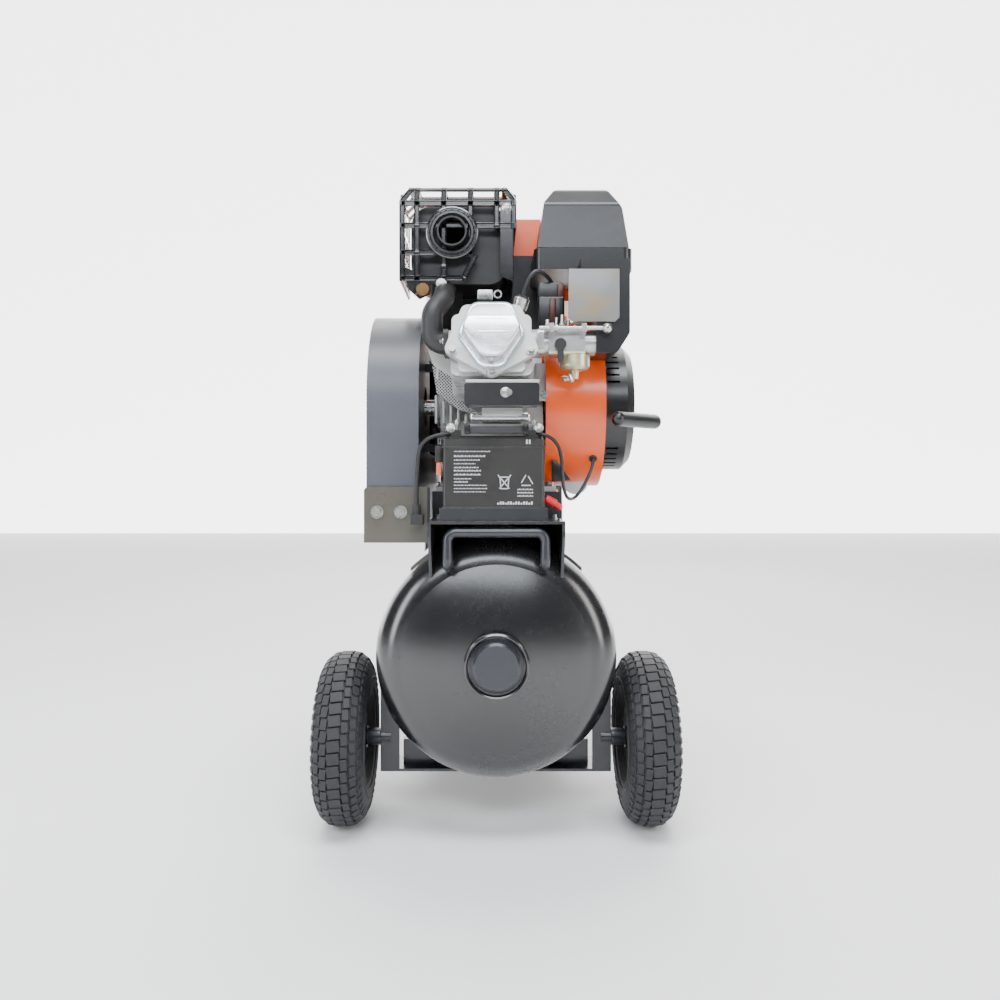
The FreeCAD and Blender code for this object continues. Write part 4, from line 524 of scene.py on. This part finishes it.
# ------------------------------------------------------------------ tyres
def tyre(name, side):
    """Pneumatic tyre with a round crown, two rain grooves and staggered tread blocks."""
    low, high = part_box(f"tyre_{name}")
    centre = (low + high) / 2
    radius, half = (high.z - low.z) / 2, (high.x - low.x) / 2
    carcass = turned([(-0.019, 0.0525), (-0.023, 0.060), (-0.034, 0.069), (-half + 0.001, 0.084),
                      (-half + 0.002, 0.097), (-half + 0.006, 0.111), (-half + 0.014, 0.1205),
                      (-0.012, 0.1255),
                      (0.012, 0.1255), (half - 0.014, 0.1205), (half - 0.006, 0.111), (half - 0.002, 0.097),
                      (half - 0.001, 0.084), (0.034, 0.069), (0.023, 0.060), (0.019, 0.0525)], 72,
                      closed=True)
    shapes = [carcass]
    pitches = 46
    step = math.tau / pitches
    rows = [(0.0, 0.0180, radius, 0.0, 0.0), (0.0150, 0.0096, radius - 0.0016, 10.0, 0.5),
            (0.0262, 0.0098, radius - 0.0082, 34.0, 0.15), (0.0347, 0.0098, radius - 0.0195, 64.0, 0.6)]
    for reach, wide, top, slope, phase in rows:
        for hand in ((1,) if reach == 0.0 else (-1, 1)):
            long = top * step * (0.88 if reach < 0.02 else 0.80 if reach < 0.03 else 0.60)
            for k in range(pitches):
                lug = block((-wide / 2, -long / 2, -0.0055), (wide / 2, long / 2, 0.0), 0.0007, 1)
                if reach < 0.03:
                    bmesh.ops.bisect_plane(lug, geom=lug.verts[:] + lug.edges[:] + lug.faces[:],
                                           plane_co=(0, 0, 0), plane_no=(0, 1, 0))
                lug = placed(lug, Matrix.Rotation(math.radians(7.0 * hand), 4, "Z"))
                lug = placed(lug, Matrix.Rotation(math.radians(slope * hand), 4, "Y"))
                lug = placed(lug, Matrix.Translation((reach * hand, 0, top)))
                turn = (k + phase + (0.25 if hand > 0 else 0.0)) * step
                shapes.append(placed(lug, Matrix.Rotation(turn, 4, "X")))
    shapes[0] = placed(carcass, Matrix.Rotation(math.radians(90.0), 4, "Y"))
    for ring_radius in (0.076, 0.090):
        for hand in (-1, 1):
            bead = turned([(0.0, ring_radius - 0.0012), (0.0012, ring_radius), (0.0, ring_radius + 0.0012),
                           (-0.003, ring_radius)], 72, closed=True)
            reach = 0.0365 if ring_radius < 0.08 else 0.0375
            shapes.append(placed(placed(bead, Matrix.Rotation(math.radians(90.0 * hand), 4, "Y")),
                                 Matrix.Translation((reach * hand, 0, 0))))
    for shape in shapes:
        placed(shape, Matrix.Translation(centre))
    return fit(f"treaded_tyre_{name}", shapes, tyre_black, f"wheel_{name}_body", [f"tyre_{name}"])


tyre("left", -1)
tyre("right", 1)

# ------------------------------------------------------------------ engine frame
pulley_low, pulley_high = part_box("drive_pulley")
crank = Vector((0.0, (pulley_low.y + pulley_high.y) / 2, (pulley_low.z + pulley_high.z) / 2))
bore = Matrix.Translation(crank) @ Matrix.Rotation(math.radians(70.0), 4, "X")
bore_x = -0.007
cover_foot = 0.214


def rocker_cover():
    """Six-sided pressed cover: raised crown, sloped upper panel and a raised bar across its middle."""
    outline = [(-0.025, 0.057), (0.025, 0.057), (0.044, 0.010), (0.014, -0.036), (-0.014, -0.036),
               (-0.044, 0.010)]
    outline = [(bore_x + x, y) for x, y in outline]
    skirt = plate(outline, 0.027, corner=0.009)
    crown = [v for v in skirt.verts if abs(v.co.z - 0.027) < 1e-4]
    bmesh.ops.scale(skirt, vec=(0.92, 0.92, 1.0), verts=crown, space=Matrix.Translation((-bore_x, 0, 0)))
    slope = Vector((0.0, math.sin(math.radians(30.0)), math.cos(math.radians(30.0))))
    cut = bmesh.ops.bisect_plane(skirt, geom=skirt.verts[:] + skirt.edges[:] + skirt.faces[:],
                                 plane_co=(0, 0.027, 0.0272), plane_no=slope, clear_outer=True)
    rims = [e for e in cut["geom_cut"] if isinstance(e, bmesh.types.BMEdge)]
    bmesh.ops.holes_fill(skirt, edges=rims)
    soften(skirt, 0.0022, 3, 24.0)
    lip = plate([(bore_x + (x - bore_x) * 1.07, y * 1.07) for x, y in outline], 0.004, 0.0012, corner=0.009)
    bar = block((bore_x - 0.019, 0.001, 0.0262), (bore_x + 0.019, 0.0034, 0.0278), 0.0005)
    frame_lines = [block((bore_x - 0.021, y, 0.0266), (bore_x + 0.021, y + 0.0010, 0.0272), 0.0002, 1)
                   for y in (0.0215, -0.0185)]
    shapes = [placed(shape, bore @ Matrix.Translation((0, 0, cover_foot)))
              for shape in [skirt, lip, bar] + frame_lines]
    fit("pressed_rocker_cover", shapes, cover_alloy, instead=["rocker_cover"])
    sheet = plate([(bore_x + (x - bore_x) * 1.12, y * 1.12) for x, y in outline], 0.0012, corner=0.010)
    fit("cover_gasket", [placed(sheet, bore @ Matrix.Translation((0, 0, cover_foot - 0.0002)))], gasket_grey)


rocker_cover()


# ------------------------------------------------------------------ muffler cage
def cage():
    """Heat guard pressed from sheet: flat bars with rolled edges round rectangular windows."""
    low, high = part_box("muffler_guard")
    body_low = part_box("muffler_body")[0]
    wide, thick = 0.0085, 0.0040
    front, back = low.y + 0.0035, high.y
    shoulder = high.z - 0.024
    bars = []

    def bar(start, end, outward, width=wide):
        """Straight bar with a hollowed face that looks outward."""
        start, end, outward = Vector(start), Vector(end), Vector(outward).normalized()
        run = (end - start).normalized()
        across = run.cross(outward)
        shape = bmesh.new()
        bmesh.ops.create_cube(shape, size=1.0)
        bmesh.ops.scale(shape, vec=((end - start).length, width, thick), verts=shape.verts)
        soften(shape, 0.0008, 1)
        top = max(shape.faces, key=lambda f: f.calc_center_median().z * 1e6 + f.calc_area())
        bmesh.ops.inset_region(shape, faces=[top], thickness=0.0019, depth=-0.0016)
        place = Matrix((run, across, outward)).transposed().to_4x4()
        place.translation = (start + end) / 2 - outward * (thick / 2)
        bars.append(placed(shape, place))

    columns = [low.x + wide / 2, -0.117, -0.0775, -0.038, 0.001, high.x - wide / 2]
    feet = [low.z + 0.024, low.z + 0.002, low.z + 0.024, low.z + 0.058, low.z + 0.100, low.z + 0.100]
    levels = [(shoulder - 0.004, high.x), (crank.z + 0.261, high.x), (crank.z + 0.221, -0.034),
              (low.z + 0.027, -0.048)]
    ahead, up, left, right = (0, -1, 0), (0, 0, 1), (-1, 0, 0), (1, 0, 0)
    for x, foot in zip(columns, feet):
        inner = min(max(x, low.x + 0.017), high.x - 0.017)
        bar((x, front, foot), (x, front, shoulder), ahead)
        bar((x, front, shoulder), (inner, front + 0.017, high.z - 0.001), (0, -0.8, 0.6))
        bar((inner, front + 0.016, high.z), (inner, back, high.z), up)
    for z, reach in levels:
        bar((low.x, front, z), (reach, front, z), ahead)
    for y in (front + 0.022, -0.355, -0.320, back - wide / 2):
        bar((low.x + 0.013, y, high.z), (high.x - 0.013, y, high.z), up)
        bar((low.x, y, high.z - 0.014), (low.x + 0.014, y, high.z), (-1, 0, 1))
        bar((high.x - 0.014, y, high.z), (high.x, y, high.z - 0.014), (1, 0, 1))
    for z in (high.z - 0.014, shoulder - 0.004, crank.z + 0.261, crank.z + 0.221, low.z + 0.027):
        reach = front + 0.018 if z > shoulder else front
        bar((low.x, reach, z), (low.x, back, z), left)
        if z > crank.z + 0.25:
            bar((high.x, reach, z), (high.x, back, z), right)
    for y in (-0.355, -0.320, back - wide / 2):
        bar((low.x, y, low.z + 0.024), (low.x, y, high.z - 0.013), left)
        bar((high.x, y, low.z + 0.100), (high.x, y, high.z - 0.013), right)
    bars.append(block((high.x - 0.0065, front + 0.001, low.z + 0.022), (high.x - 0.0040, back, shoulder),
                      0.0008, 1))
    bar((-0.048, front, low.z + 0.027), (-0.030, front, low.z + 0.062), ahead)
    mouth = Vector((-0.065, front, crank.z + 0.250))
    collar = turned([(-0.001, 0.0262), (0.0035, 0.0262), (0.0055, 0.0285), (0.0055, 0.0315), (0.0030, 0.0335),
                     (0.0030, 0.0355), (0.0045, 0.0365), (0.0035, 0.0385), (-0.001, 0.0385)], 48, closed=True)
    bars.append(placed(collar, facing(mouth + Vector((0, 0.003, 0)), ahead)))
    for k in range(24):
        turn = math.tau * k / 24
        spot = mouth + Vector((0.0352 * math.cos(turn), 0.001, 0.0352 * math.sin(turn)))
        notch = block((-0.0016, -0.0009, 0.0), (0.0016, 0.0009, 0.0030), 0.0003, 1)
        bars.append(placed(placed(notch, Matrix.Rotation(-turn, 4, "Z")), facing(spot, ahead)))
    side = [(high.x - 0.024, low.z + 0.030), (high.x - 0.004, low.z + 0.022), (high.x - 0.004, shoulder),
            (high.x - 0.024, shoulder)]
    bars.append(upright(side, front + 0.0015, 0.0015, 0.0004, 1))
    corner = [(low.x + 0.002, low.z + 0.046), (low.x + 0.014, low.z + 0.010), (low.x + 0.030, low.z - 0.004),
              (low.x + 0.046, low.z + 0.004), (low.x + 0.046, low.z + 0.030)]
    bars.append(upright(corner, front + 0.003, 0.0025, 0.0006, 1))
    bars.append(upright([(-0.090, low.z + 0.012), (-0.072, low.z + 0.012), (-0.072, low.z + 0.028),
                         (-0.090, low.z + 0.028)], front + 0.001, 0.0025, 0.0006, 1, 0.004))
    for x, z in ((-0.117, crank.z + 0.221), (-0.0775, crank.z + 0.200), (0.001, crank.z + 0.261),
                 (-0.117, crank.z + 0.261)):
        stud = rod(0.005, body_low.y + 0.027 - front, 0.0005)
        bars.append(placed(stud, facing((x, front + 0.001, z), (0, 1, 0))))
    fit("muffler_cage", bars, cage_black, instead=["muffler_guard"])
    disc = turned([(0.0, 0.0), (0.0, 0.0090), (0.0016, 0.0098), (0.0026, 0.0090), (0.0032, 0.0)], 32)
    fit("cage_disc", [placed(disc, facing((low.x + 0.0345, front + 0.003, low.z + 0.0105), ahead))],
        dull_gold)
    nuts = [placed(hexagon_bolt(0.0095, 0.0045), facing((x, front + gap, z), ahead)) for x, z, gap in
            ((-0.081, low.z + 0.0185, 0.001), (high.x - 0.014, shoulder - 0.012, 0.0015))]
    fit("cage_bolts", nuts, zinc)


cage()


# ------------------------------------------------------------------ battery
def battery_trim():
    """Lid seam and base band round the battery, and plain printed marks on its front."""
    low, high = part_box("battery")
    face = low.y
    lid = [block((low.x - 0.0008, face - 0.0008, high.z - 0.026),
                 (high.x + 0.0008, high.y + 0.0008, high.z - 0.0235),
                 0.0006)]
    lid += [block((low.x - 0.0009, face - 0.0009, low.z),
                  (high.x + 0.0009, high.y + 0.0009, low.z + 0.016), 0.001)]
    fit("battery_bands", lid, battery_case)
    marks = []

    def dash(x, z, wide, tall):
        marks.append(block((x, face - 0.00045, z), (x + wide, face + 0.0002, z + tall)))

    rows = [(0.0180, 0.050, 0.0014), (0.0250, 0.044, 0.0024), (0.0300, 0.036, 0.0016),
            (0.0350, 0.030, 0.0014),
            (0.0405, 0.034, 0.0018), (0.0450, 0.038, 0.0020), (0.0505, 0.037, 0.0022),
            (0.0560, 0.024, 0.0016),
            (0.0605, 0.019, 0.0020), (0.0650, 0.046, 0.0014), (0.0695, 0.046, 0.0014),
            (0.0740, 0.044, 0.0012)]
    for count, (drop, reach, tall) in enumerate(rows):
        x = low.x + 0.016
        last = x + reach
        k = 0
        while x < last:
            wide = 0.0011 + 0.0013 * ((count * 7 + k * 5) % 4) / 3
            dash(x, high.z - 0.013 - drop, min(wide, last - x), tall * (0.75 + 0.25 * ((k + count) % 2)))
            x += wide + 0.0008
            k += 1
    for k in range(14):
        dash(low.x + 0.076 + 0.0036 * k, low.z + 0.019, 0.0024, 0.0040 if k % 3 else 0.0024)
    for row in range(3):
        for k in range(9):
            dash(low.x + 0.104 + 0.0025 * k, low.z + 0.030 + 0.0045 * row, 0.0017,
                 0.0014 + 0.0006 * ((k + row) % 2))
    for k in range(2):
        dash(high.x - 0.026 + 0.004 * k, high.z - 0.020, 0.0022, 0.0060)
    centre = Vector((low.x + 0.086, face - 0.0001, low.z + 0.050))
    strokes = [((-0.007, -0.009), (0.009, 0.010)), ((0.007, -0.009), (-0.009, 0.010)),
               ((-0.005, -0.009), (-0.006, 0.006)),
               ((0.005, -0.009), (0.006, 0.006)), ((-0.008, 0.007), (0.008, 0.007)),
               ((-0.005, -0.009), (0.005, -0.009))]
    loop = Vector((low.x + 0.117, face - 0.0001, low.z + 0.051))
    for k in range(3):
        turn = math.tau * k / 3 + math.pi / 2
        corner = Vector((math.cos(turn), math.sin(turn))) * 0.011
        after = Vector((math.cos(turn + math.tau / 3), math.sin(turn + math.tau / 3))) * 0.011
        strokes.append((corner.lerp(after, 0.12), corner.lerp(after, 0.78), loop))
    for stroke in strokes:
        start, end = Vector(stroke[0]), Vector(stroke[1])
        middle = stroke[2] if len(stroke) > 2 else centre
        run = end - start
        line = block((-run.length / 2, -0.0007, -0.0003), (run.length / 2, 0.0007, 0.0003))
        placed(line, Matrix.Rotation(math.atan2(run.y, run.x), 4, "Z"))
        placed(line, Matrix.Rotation(math.radians(90.0), 4, "X"))
        mid = (start + end) / 2
        marks.append(placed(line, Matrix.Translation(middle + Vector((mid.x, 0, mid.y)))))
    fit("battery_marks", marks, mark_white)


battery_trim()


# ------------------------------------------------------------------ engine front
def engine_front():
    """Shrouds, covers, brackets and small fittings on the cylinder side of the engine."""
    flat = [(-0.0990, 0.7150), (-0.0780, 0.7165), (-0.0460, 0.6740), (-0.0600, 0.6735), (-0.0910, 0.6930)]
    mesh = [(-0.0930, 0.6930), (-0.0700, 0.6860), (-0.0460, 0.6680), (-0.0360, 0.6370), (-0.0360, 0.6240),
            (-0.0560, 0.6300), (-0.0870, 0.6550)]
    rib = [block((-0.0905 + 0.011 * k, -0.4200, 0.610), (-0.0865 + 0.011 * k, -0.4080, 0.652 - 0.007 * k),
                 0.0012, 2)
           for k in range(5)]
    left = [upright(flat, -0.4370, 0.0016, 0.0004, 1), perforated(mesh, -0.4350, 0.0012, 0.0032),
            block((-0.0870, -0.4362, 0.6735), (-0.0835, -0.3900, 0.7050), 0.0008, 1)]
    right = [block((0.0580, -0.4100, 0.6440), (0.0790, -0.4070, 0.7010), 0.0008),
             block((0.0580, -0.4090, 0.6440), (0.0605, -0.2900, 0.7000), 0.0008)]
    fit("perforated_shroud", left + right, shroud_steel, instead=["cylinder_shrouds"])
    fit("shroud_lining", [upright([(x * 0.96 - 0.003, z * 0.96 + 0.0262) for x, z in mesh], -0.4325,
                                  0.0010)], iron)
    fit("crankcase_ribs", rib, engine_alloy)
    low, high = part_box("control_box")
    # Painted highlight: a light steel strip along the box's top front edge stands for the lit edge of its
    # cover.
    strip = block((low.x + 0.002, low.y - 0.0006, high.z + 0.0003),
                  (high.x, low.y + 0.012, high.z + 0.0045), 0.0008)
    sight = block((-0.0380, -0.4680, 0.6100), (0.0490, -0.4575, 0.6240), 0.0048, 4)
    sill = block((-0.0450, -0.4660, 0.6025), (0.0520, -0.4570, 0.6065), 0.0010)
    fit("box_top_highlight_strip", [strip, sill], shroud_steel)
    fit("polished_cover", [sight], cover_alloy)
    screw = placed(hexagon_bolt(0.0085, 0.003), facing((0.012, low.y, high.z - 0.013), (0, -1, 0)))
    washer = placed(hexagon_bolt(0.0080, 0.004), facing((0.0745, -0.4100, 0.6510), (0, -1, 0)))
    bridge = block((-0.0270, -0.4620, 0.7850), (-0.0050, -0.4480, 0.7985), 0.0014, 3)
    hook = turned([(-0.0012, 0.0040), (0.0012, 0.0040), (0.0012, 0.0062), (-0.0012, 0.0062)], 20, closed=True)
    hook = placed(hook, facing((0.0020, -0.4560, 0.7930), (0, -1, 0)))
    plug_run = Vector((0.0105, -0.0076, 0.0399)).normalized()
    collar = placed(turned([(0.0, 0.0), (0.0, 0.0102), (0.0150, 0.0112), (0.0165, 0.0095), (0.0165, 0.0)],
                           24),
                    facing(Vector((0.0376, -0.4660, 0.7896)) - plug_run * 0.020, plug_run))
    fit("head_fittings", [screw, washer, bridge, hook, collar], zinc)
    duct = [(0.1000, 0.8205), (0.1710, 0.8205), (0.1710, 0.7530), (0.1650, 0.7470), (0.1060, 0.7470),
            (0.1000, 0.7530)]
    fit("intake_duct", [upright(duct, -0.4945, 0.0045, 0.0012, 3)], duct_grey)


def carburettor_linkage():
    """Screws, springs and lever plates round the carburettor, the black parts behind them, and dark red
    blocks as painted shade of the orange fuel tank behind.
    """
    low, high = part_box("carburettor")
    pins = []
    for x, y, z, tall, wide in ((0.0720, -0.4760, 0.7330, 0.020, 0.0032),
                                (0.0850, -0.4720, 0.7350, 0.022, 0.0024),
                                (0.0925, -0.4800, 0.7330, 0.026, 0.0028),
                                (0.1020, -0.4700, 0.7350, 0.018, 0.0024),
                                (0.1230, -0.4800, 0.7330, 0.010, 0.0034)):
        pins.append(placed(rod(wide, tall, 0.0004, 16), Matrix.Translation((x, y, z))))
        pins.append(placed(rod(wide * 1.6, 0.0030, 0.0004, 16), Matrix.Translation((x, y, z + tall * 0.4))))
    pins.append(upright([(0.066, 0.726), (0.086, 0.726), (0.090, 0.734), (0.128, 0.736), (0.128, 0.7385),
                         (0.066, 0.7385)], -0.4885, 0.0018, 0.0004, 1))
    nut = (low + high) / 2
    pins.append(placed(hexagon_bolt(0.0100, 0.0060), facing((nut.x, nut.y, low.z + 0.003), (0, 0, -1))))
    pins.append(placed(rod(0.0026, 0.012, 0.0005, 16),
                       facing((nut.x + 0.004, nut.y - 0.012, low.z + 0.004), (0.3, -0.5, -0.8))))
    fit("carburettor_screws", pins, zinc)
    stand = [block((0.0600, -0.4580, 0.7400), (0.0980, -0.4440, 0.7900), 0.003, 3),
             block((0.0600, -0.4500, 0.7780), (0.0960, -0.4340, 0.8120), 0.003, 3)]
    fit("intake_elbow", stand, plastic_black)
    # Painted shade: dark red blocks where the orange fuel tank lies in shadow behind the linkage.
    fit("shaded_tank_blocks", [block((0.0760, -0.4660, 0.7480), (0.0850, -0.4600, 0.7860), 0.002),
                           block((0.0880, -0.4560, 0.7860), (0.0980, -0.4480, 0.8080), 0.002)], tank_orange_in_shade)


def battery_fittings():
    """Clamp plate, connectors and boots round the battery, and the stay below the blower."""
    plate_parts = [block((-0.0390, -0.4860, 0.5925), (0.0370, -0.4750, 0.6020), 0.001)]
    fit("clamp_plate", plate_parts, iron)
    fit("clamp_blocks", [block((-0.0450, -0.4880, 0.5915), (-0.0370, -0.4740, 0.6050), 0.001),
                         block((0.0370, -0.4880, 0.5915), (0.0450, -0.4740, 0.6050), 0.001)], plastic_black)
    nuts = [placed(hexagon_bolt(0.0080, 0.0045), facing((x, -0.4800, 0.6000), (0, -1, 0.2)))
            for x in (-0.0640, 0.0600)]
    nuts += [placed(rod(0.0030, 0.016, 0.0004, 16), Matrix.Translation((x, -0.4740, 0.596)))
             for x in (-0.0560, 0.0530)]
    fit("clamp_bolts", nuts, zinc)
    fit("orange_plug", [block((-0.0855, -0.4650, 0.5335), (-0.0780, -0.4560, 0.5520), 0.0012)], orange_insert)
    fit("plug_housing", [block((-0.0875, -0.4660, 0.5520), (-0.0768, -0.4550, 0.5760), 0.0014)], battery_case)
    boots = []
    for start, end, wide in (((0.0690, -0.4720, 0.5010), (0.0840, -0.4700, 0.4930), 0.0062),
                             ((0.0820, -0.4700, 0.4940), (0.0920, -0.4680, 0.4860), 0.0048)):
        run = Vector(end) - Vector(start)
        boots.append(placed(rod(wide, run.length, 0.0016, 24), facing(start, run)))
    fit("red_boot", boots, cable_red)
    turns = [math.pi + math.pi * k / 16 for k in range(17)]
    arc = [(0.119 + 0.019 * math.cos(turn), 0.5240 + 0.0185 * math.sin(turn)) for turn in turns]
    fit("blower_stay", [upright(arc, -0.3960, 0.0020, 0.0005, 1)], shroud_steel)
    fin = [(0.0830, 0.5570), (0.0830, 0.5240), (0.1120, 0.5265), (0.0900, 0.5570)]
    fit("blower_stop", [upright(fin, -0.4010, 0.0040, 0.0008, 2)], plastic_black)


def tank_trim():
    """Weld bead round the inspection plug."""
    low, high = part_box("inspection_plugs")
    axis = (low + high) / 2
    wide = (high.z - low.z) / 2
    bead = turned([(0.0, wide - 0.001), (0.0028, wide + 0.0006), (0.0036, wide + 0.0024),
                   (0.0022, wide + 0.0042),
                   (-0.003, wide + 0.005), (-0.003, wide - 0.001)], 64, closed=True)
    fit("plug_weld", [placed(bead, facing((axis.x, low.y + 0.0085, axis.z), (0, -1, 0)))], cage_black)


def gauge_dials():
    """White face, graduation lines and a needle in each pressure gauge."""
    low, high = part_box("pressure_gauges")
    rim = 0.025
    faces, lines = [], []
    for x in (low.x + rim, high.x - rim):
        centre = Vector((x, high.y - 0.0150, high.z - rim))
        faces.append(placed(turned([(-0.0025, 0.0), (-0.0025, 0.0214), (0.0, 0.0216), (0.0006, 0.0210),
                                    (0.0006, 0.0)], 48),
                            facing(centre, (0, 1, 0))))
        for k in range(19):
            turn = math.radians(-45.0 + 15.0 * k)
            mark = block((-0.0004 - 0.0003 * (k % 3 == 0), 0.0150, 0.0),
                         (0.0004 + 0.0003 * (k % 3 == 0), 0.0190, 0.0004))
            placed(mark, Matrix.Rotation(turn - math.radians(90.0), 4, "Z"))
            placed(mark, Matrix.Rotation(math.radians(-90.0), 4, "X"))
            lines.append(placed(mark, Matrix.Translation(centre + Vector((0, 0.0007, 0)))))
        needle = merged([block((-0.0007, -0.0050, 0.0), (0.0007, 0.0160, 0.0006)),
                         rod(0.0022, 0.0014, 0.0003, 20)])
        placed(needle, Matrix.Rotation(math.radians(128.0), 4, "Z"))
        placed(needle, Matrix.Rotation(math.radians(-90.0), 4, "X"))
        lines.append(placed(needle, Matrix.Translation(centre + Vector((0, 0.0012, 0)))))
    fit("gauge_faces", faces, dial_white)
    fit("gauge_needles", lines, cable_black)


gauge_dials()
engine_front()
carburettor_linkage()
battery_fittings()
tank_trim()

# ------------------------------------------------------------------ floor, light and surroundings
floor_mesh = bpy.data.meshes.new("floor")
floor_shape = bmesh.new()
bmesh.ops.create_grid(floor_shape, x_segments=1, y_segments=1, size=14.0)
bmesh.ops.translate(floor_shape, vec=(0, 0, cad_box[0][2] - 0.001), verts=floor_shape.verts)
floor_shape.to_mesh(floor_mesh)
floor_shape.free()
floor = bpy.data.objects.new("floor", floor_mesh)
bpy.context.scene.collection.objects.link(floor)
floor_paint = Finish("floor_paint")
floor_paint.set(floor_paint.shader.inputs["Base Color"], (0.86, 0.86, 0.86, 1.0))
floor_paint.set(floor_paint.shader.inputs["Roughness"], 0.9)
floor_mesh.materials.append(floor_paint.material)
backdrop_mesh = bpy.data.meshes.new("backdrop")
backdrop_shape = bmesh.new()
bmesh.ops.create_grid(backdrop_shape, x_segments=1, y_segments=1, size=14.0)
placed(backdrop_shape, Matrix.Translation((0, 7.0, 0)) @ Matrix.Rotation(math.radians(90.0), 4, "X"))
backdrop_shape.to_mesh(backdrop_mesh)
backdrop_shape.free()
backdrop = bpy.data.objects.new("backdrop", backdrop_mesh)
bpy.context.scene.collection.objects.link(backdrop)
backdrop_glow = Finish("backdrop_glow")
backdrop_glow.set(backdrop_glow.shader.inputs["Base Color"], (0.9, 0.9, 0.9, 1.0))
backdrop_glow.set(backdrop_glow.shader.inputs["Emission Color"], (1.0, 1.0, 1.0, 1.0))
backdrop_glow.set(backdrop_glow.shader.inputs["Emission Strength"], 4.0)
backdrop_mesh.materials.append(backdrop_glow.material)


def softbox(name, place, aim, size, power, colour=(1.0, 1.0, 1.0)):
    """Large soft lamp that looks at a point."""
    lamp = bpy.data.lights.new(name, "AREA")
    lamp.shape = "RECTANGLE"
    lamp.size, lamp.size_y = size
    lamp.energy = power
    lamp.color = colour
    made = bpy.data.objects.new(name, lamp)
    made.location = place
    made.rotation_euler = (Vector(aim) - Vector(place)).to_track_quat("-Z", "Y").to_euler()
    bpy.context.scene.collection.objects.link(made)


softbox("front_softbox", (-0.4, -3.2, 2.15), (0, -0.5, 0.30), (3.0, 0.7), 70.0, (0.88, 0.93, 1.0))
softbox("over_softbox", (0.0, -1.7, 3.4), (0, -0.4, 0.4), (2.4, 1.2), 150.0, (0.94, 0.97, 1.0))
softbox("left_softbox", (-2.4, -1.9, 1.1), (0, -0.2, 0.5), (0.7, 1.9), 46.0, (0.94, 0.97, 1.0))
softbox("right_softbox", (2.4, -1.9, 1.1), (0, -0.2, 0.5), (0.7, 1.9), 40.0, (1.0, 0.97, 0.94))
softbox("top_softbox", (0.0, 0.6, 3.2), (0, 0.3, 0.5), (1.6, 1.6), 46.0)
softbox("rear_softbox", (0.4, 3.4, 2.6), (0, 0.2, 0.5), (2.0, 1.4), 50.0)

surroundings = bpy.data.worlds.new("studio")
bpy.context.scene.world = surroundings
surroundings.use_nodes = True
sky = surroundings.node_tree.nodes["Background"]
sky.inputs["Color"].default_value = (0.95, 0.97, 1.0, 1.0)
sky.inputs["Strength"].default_value = 0.10
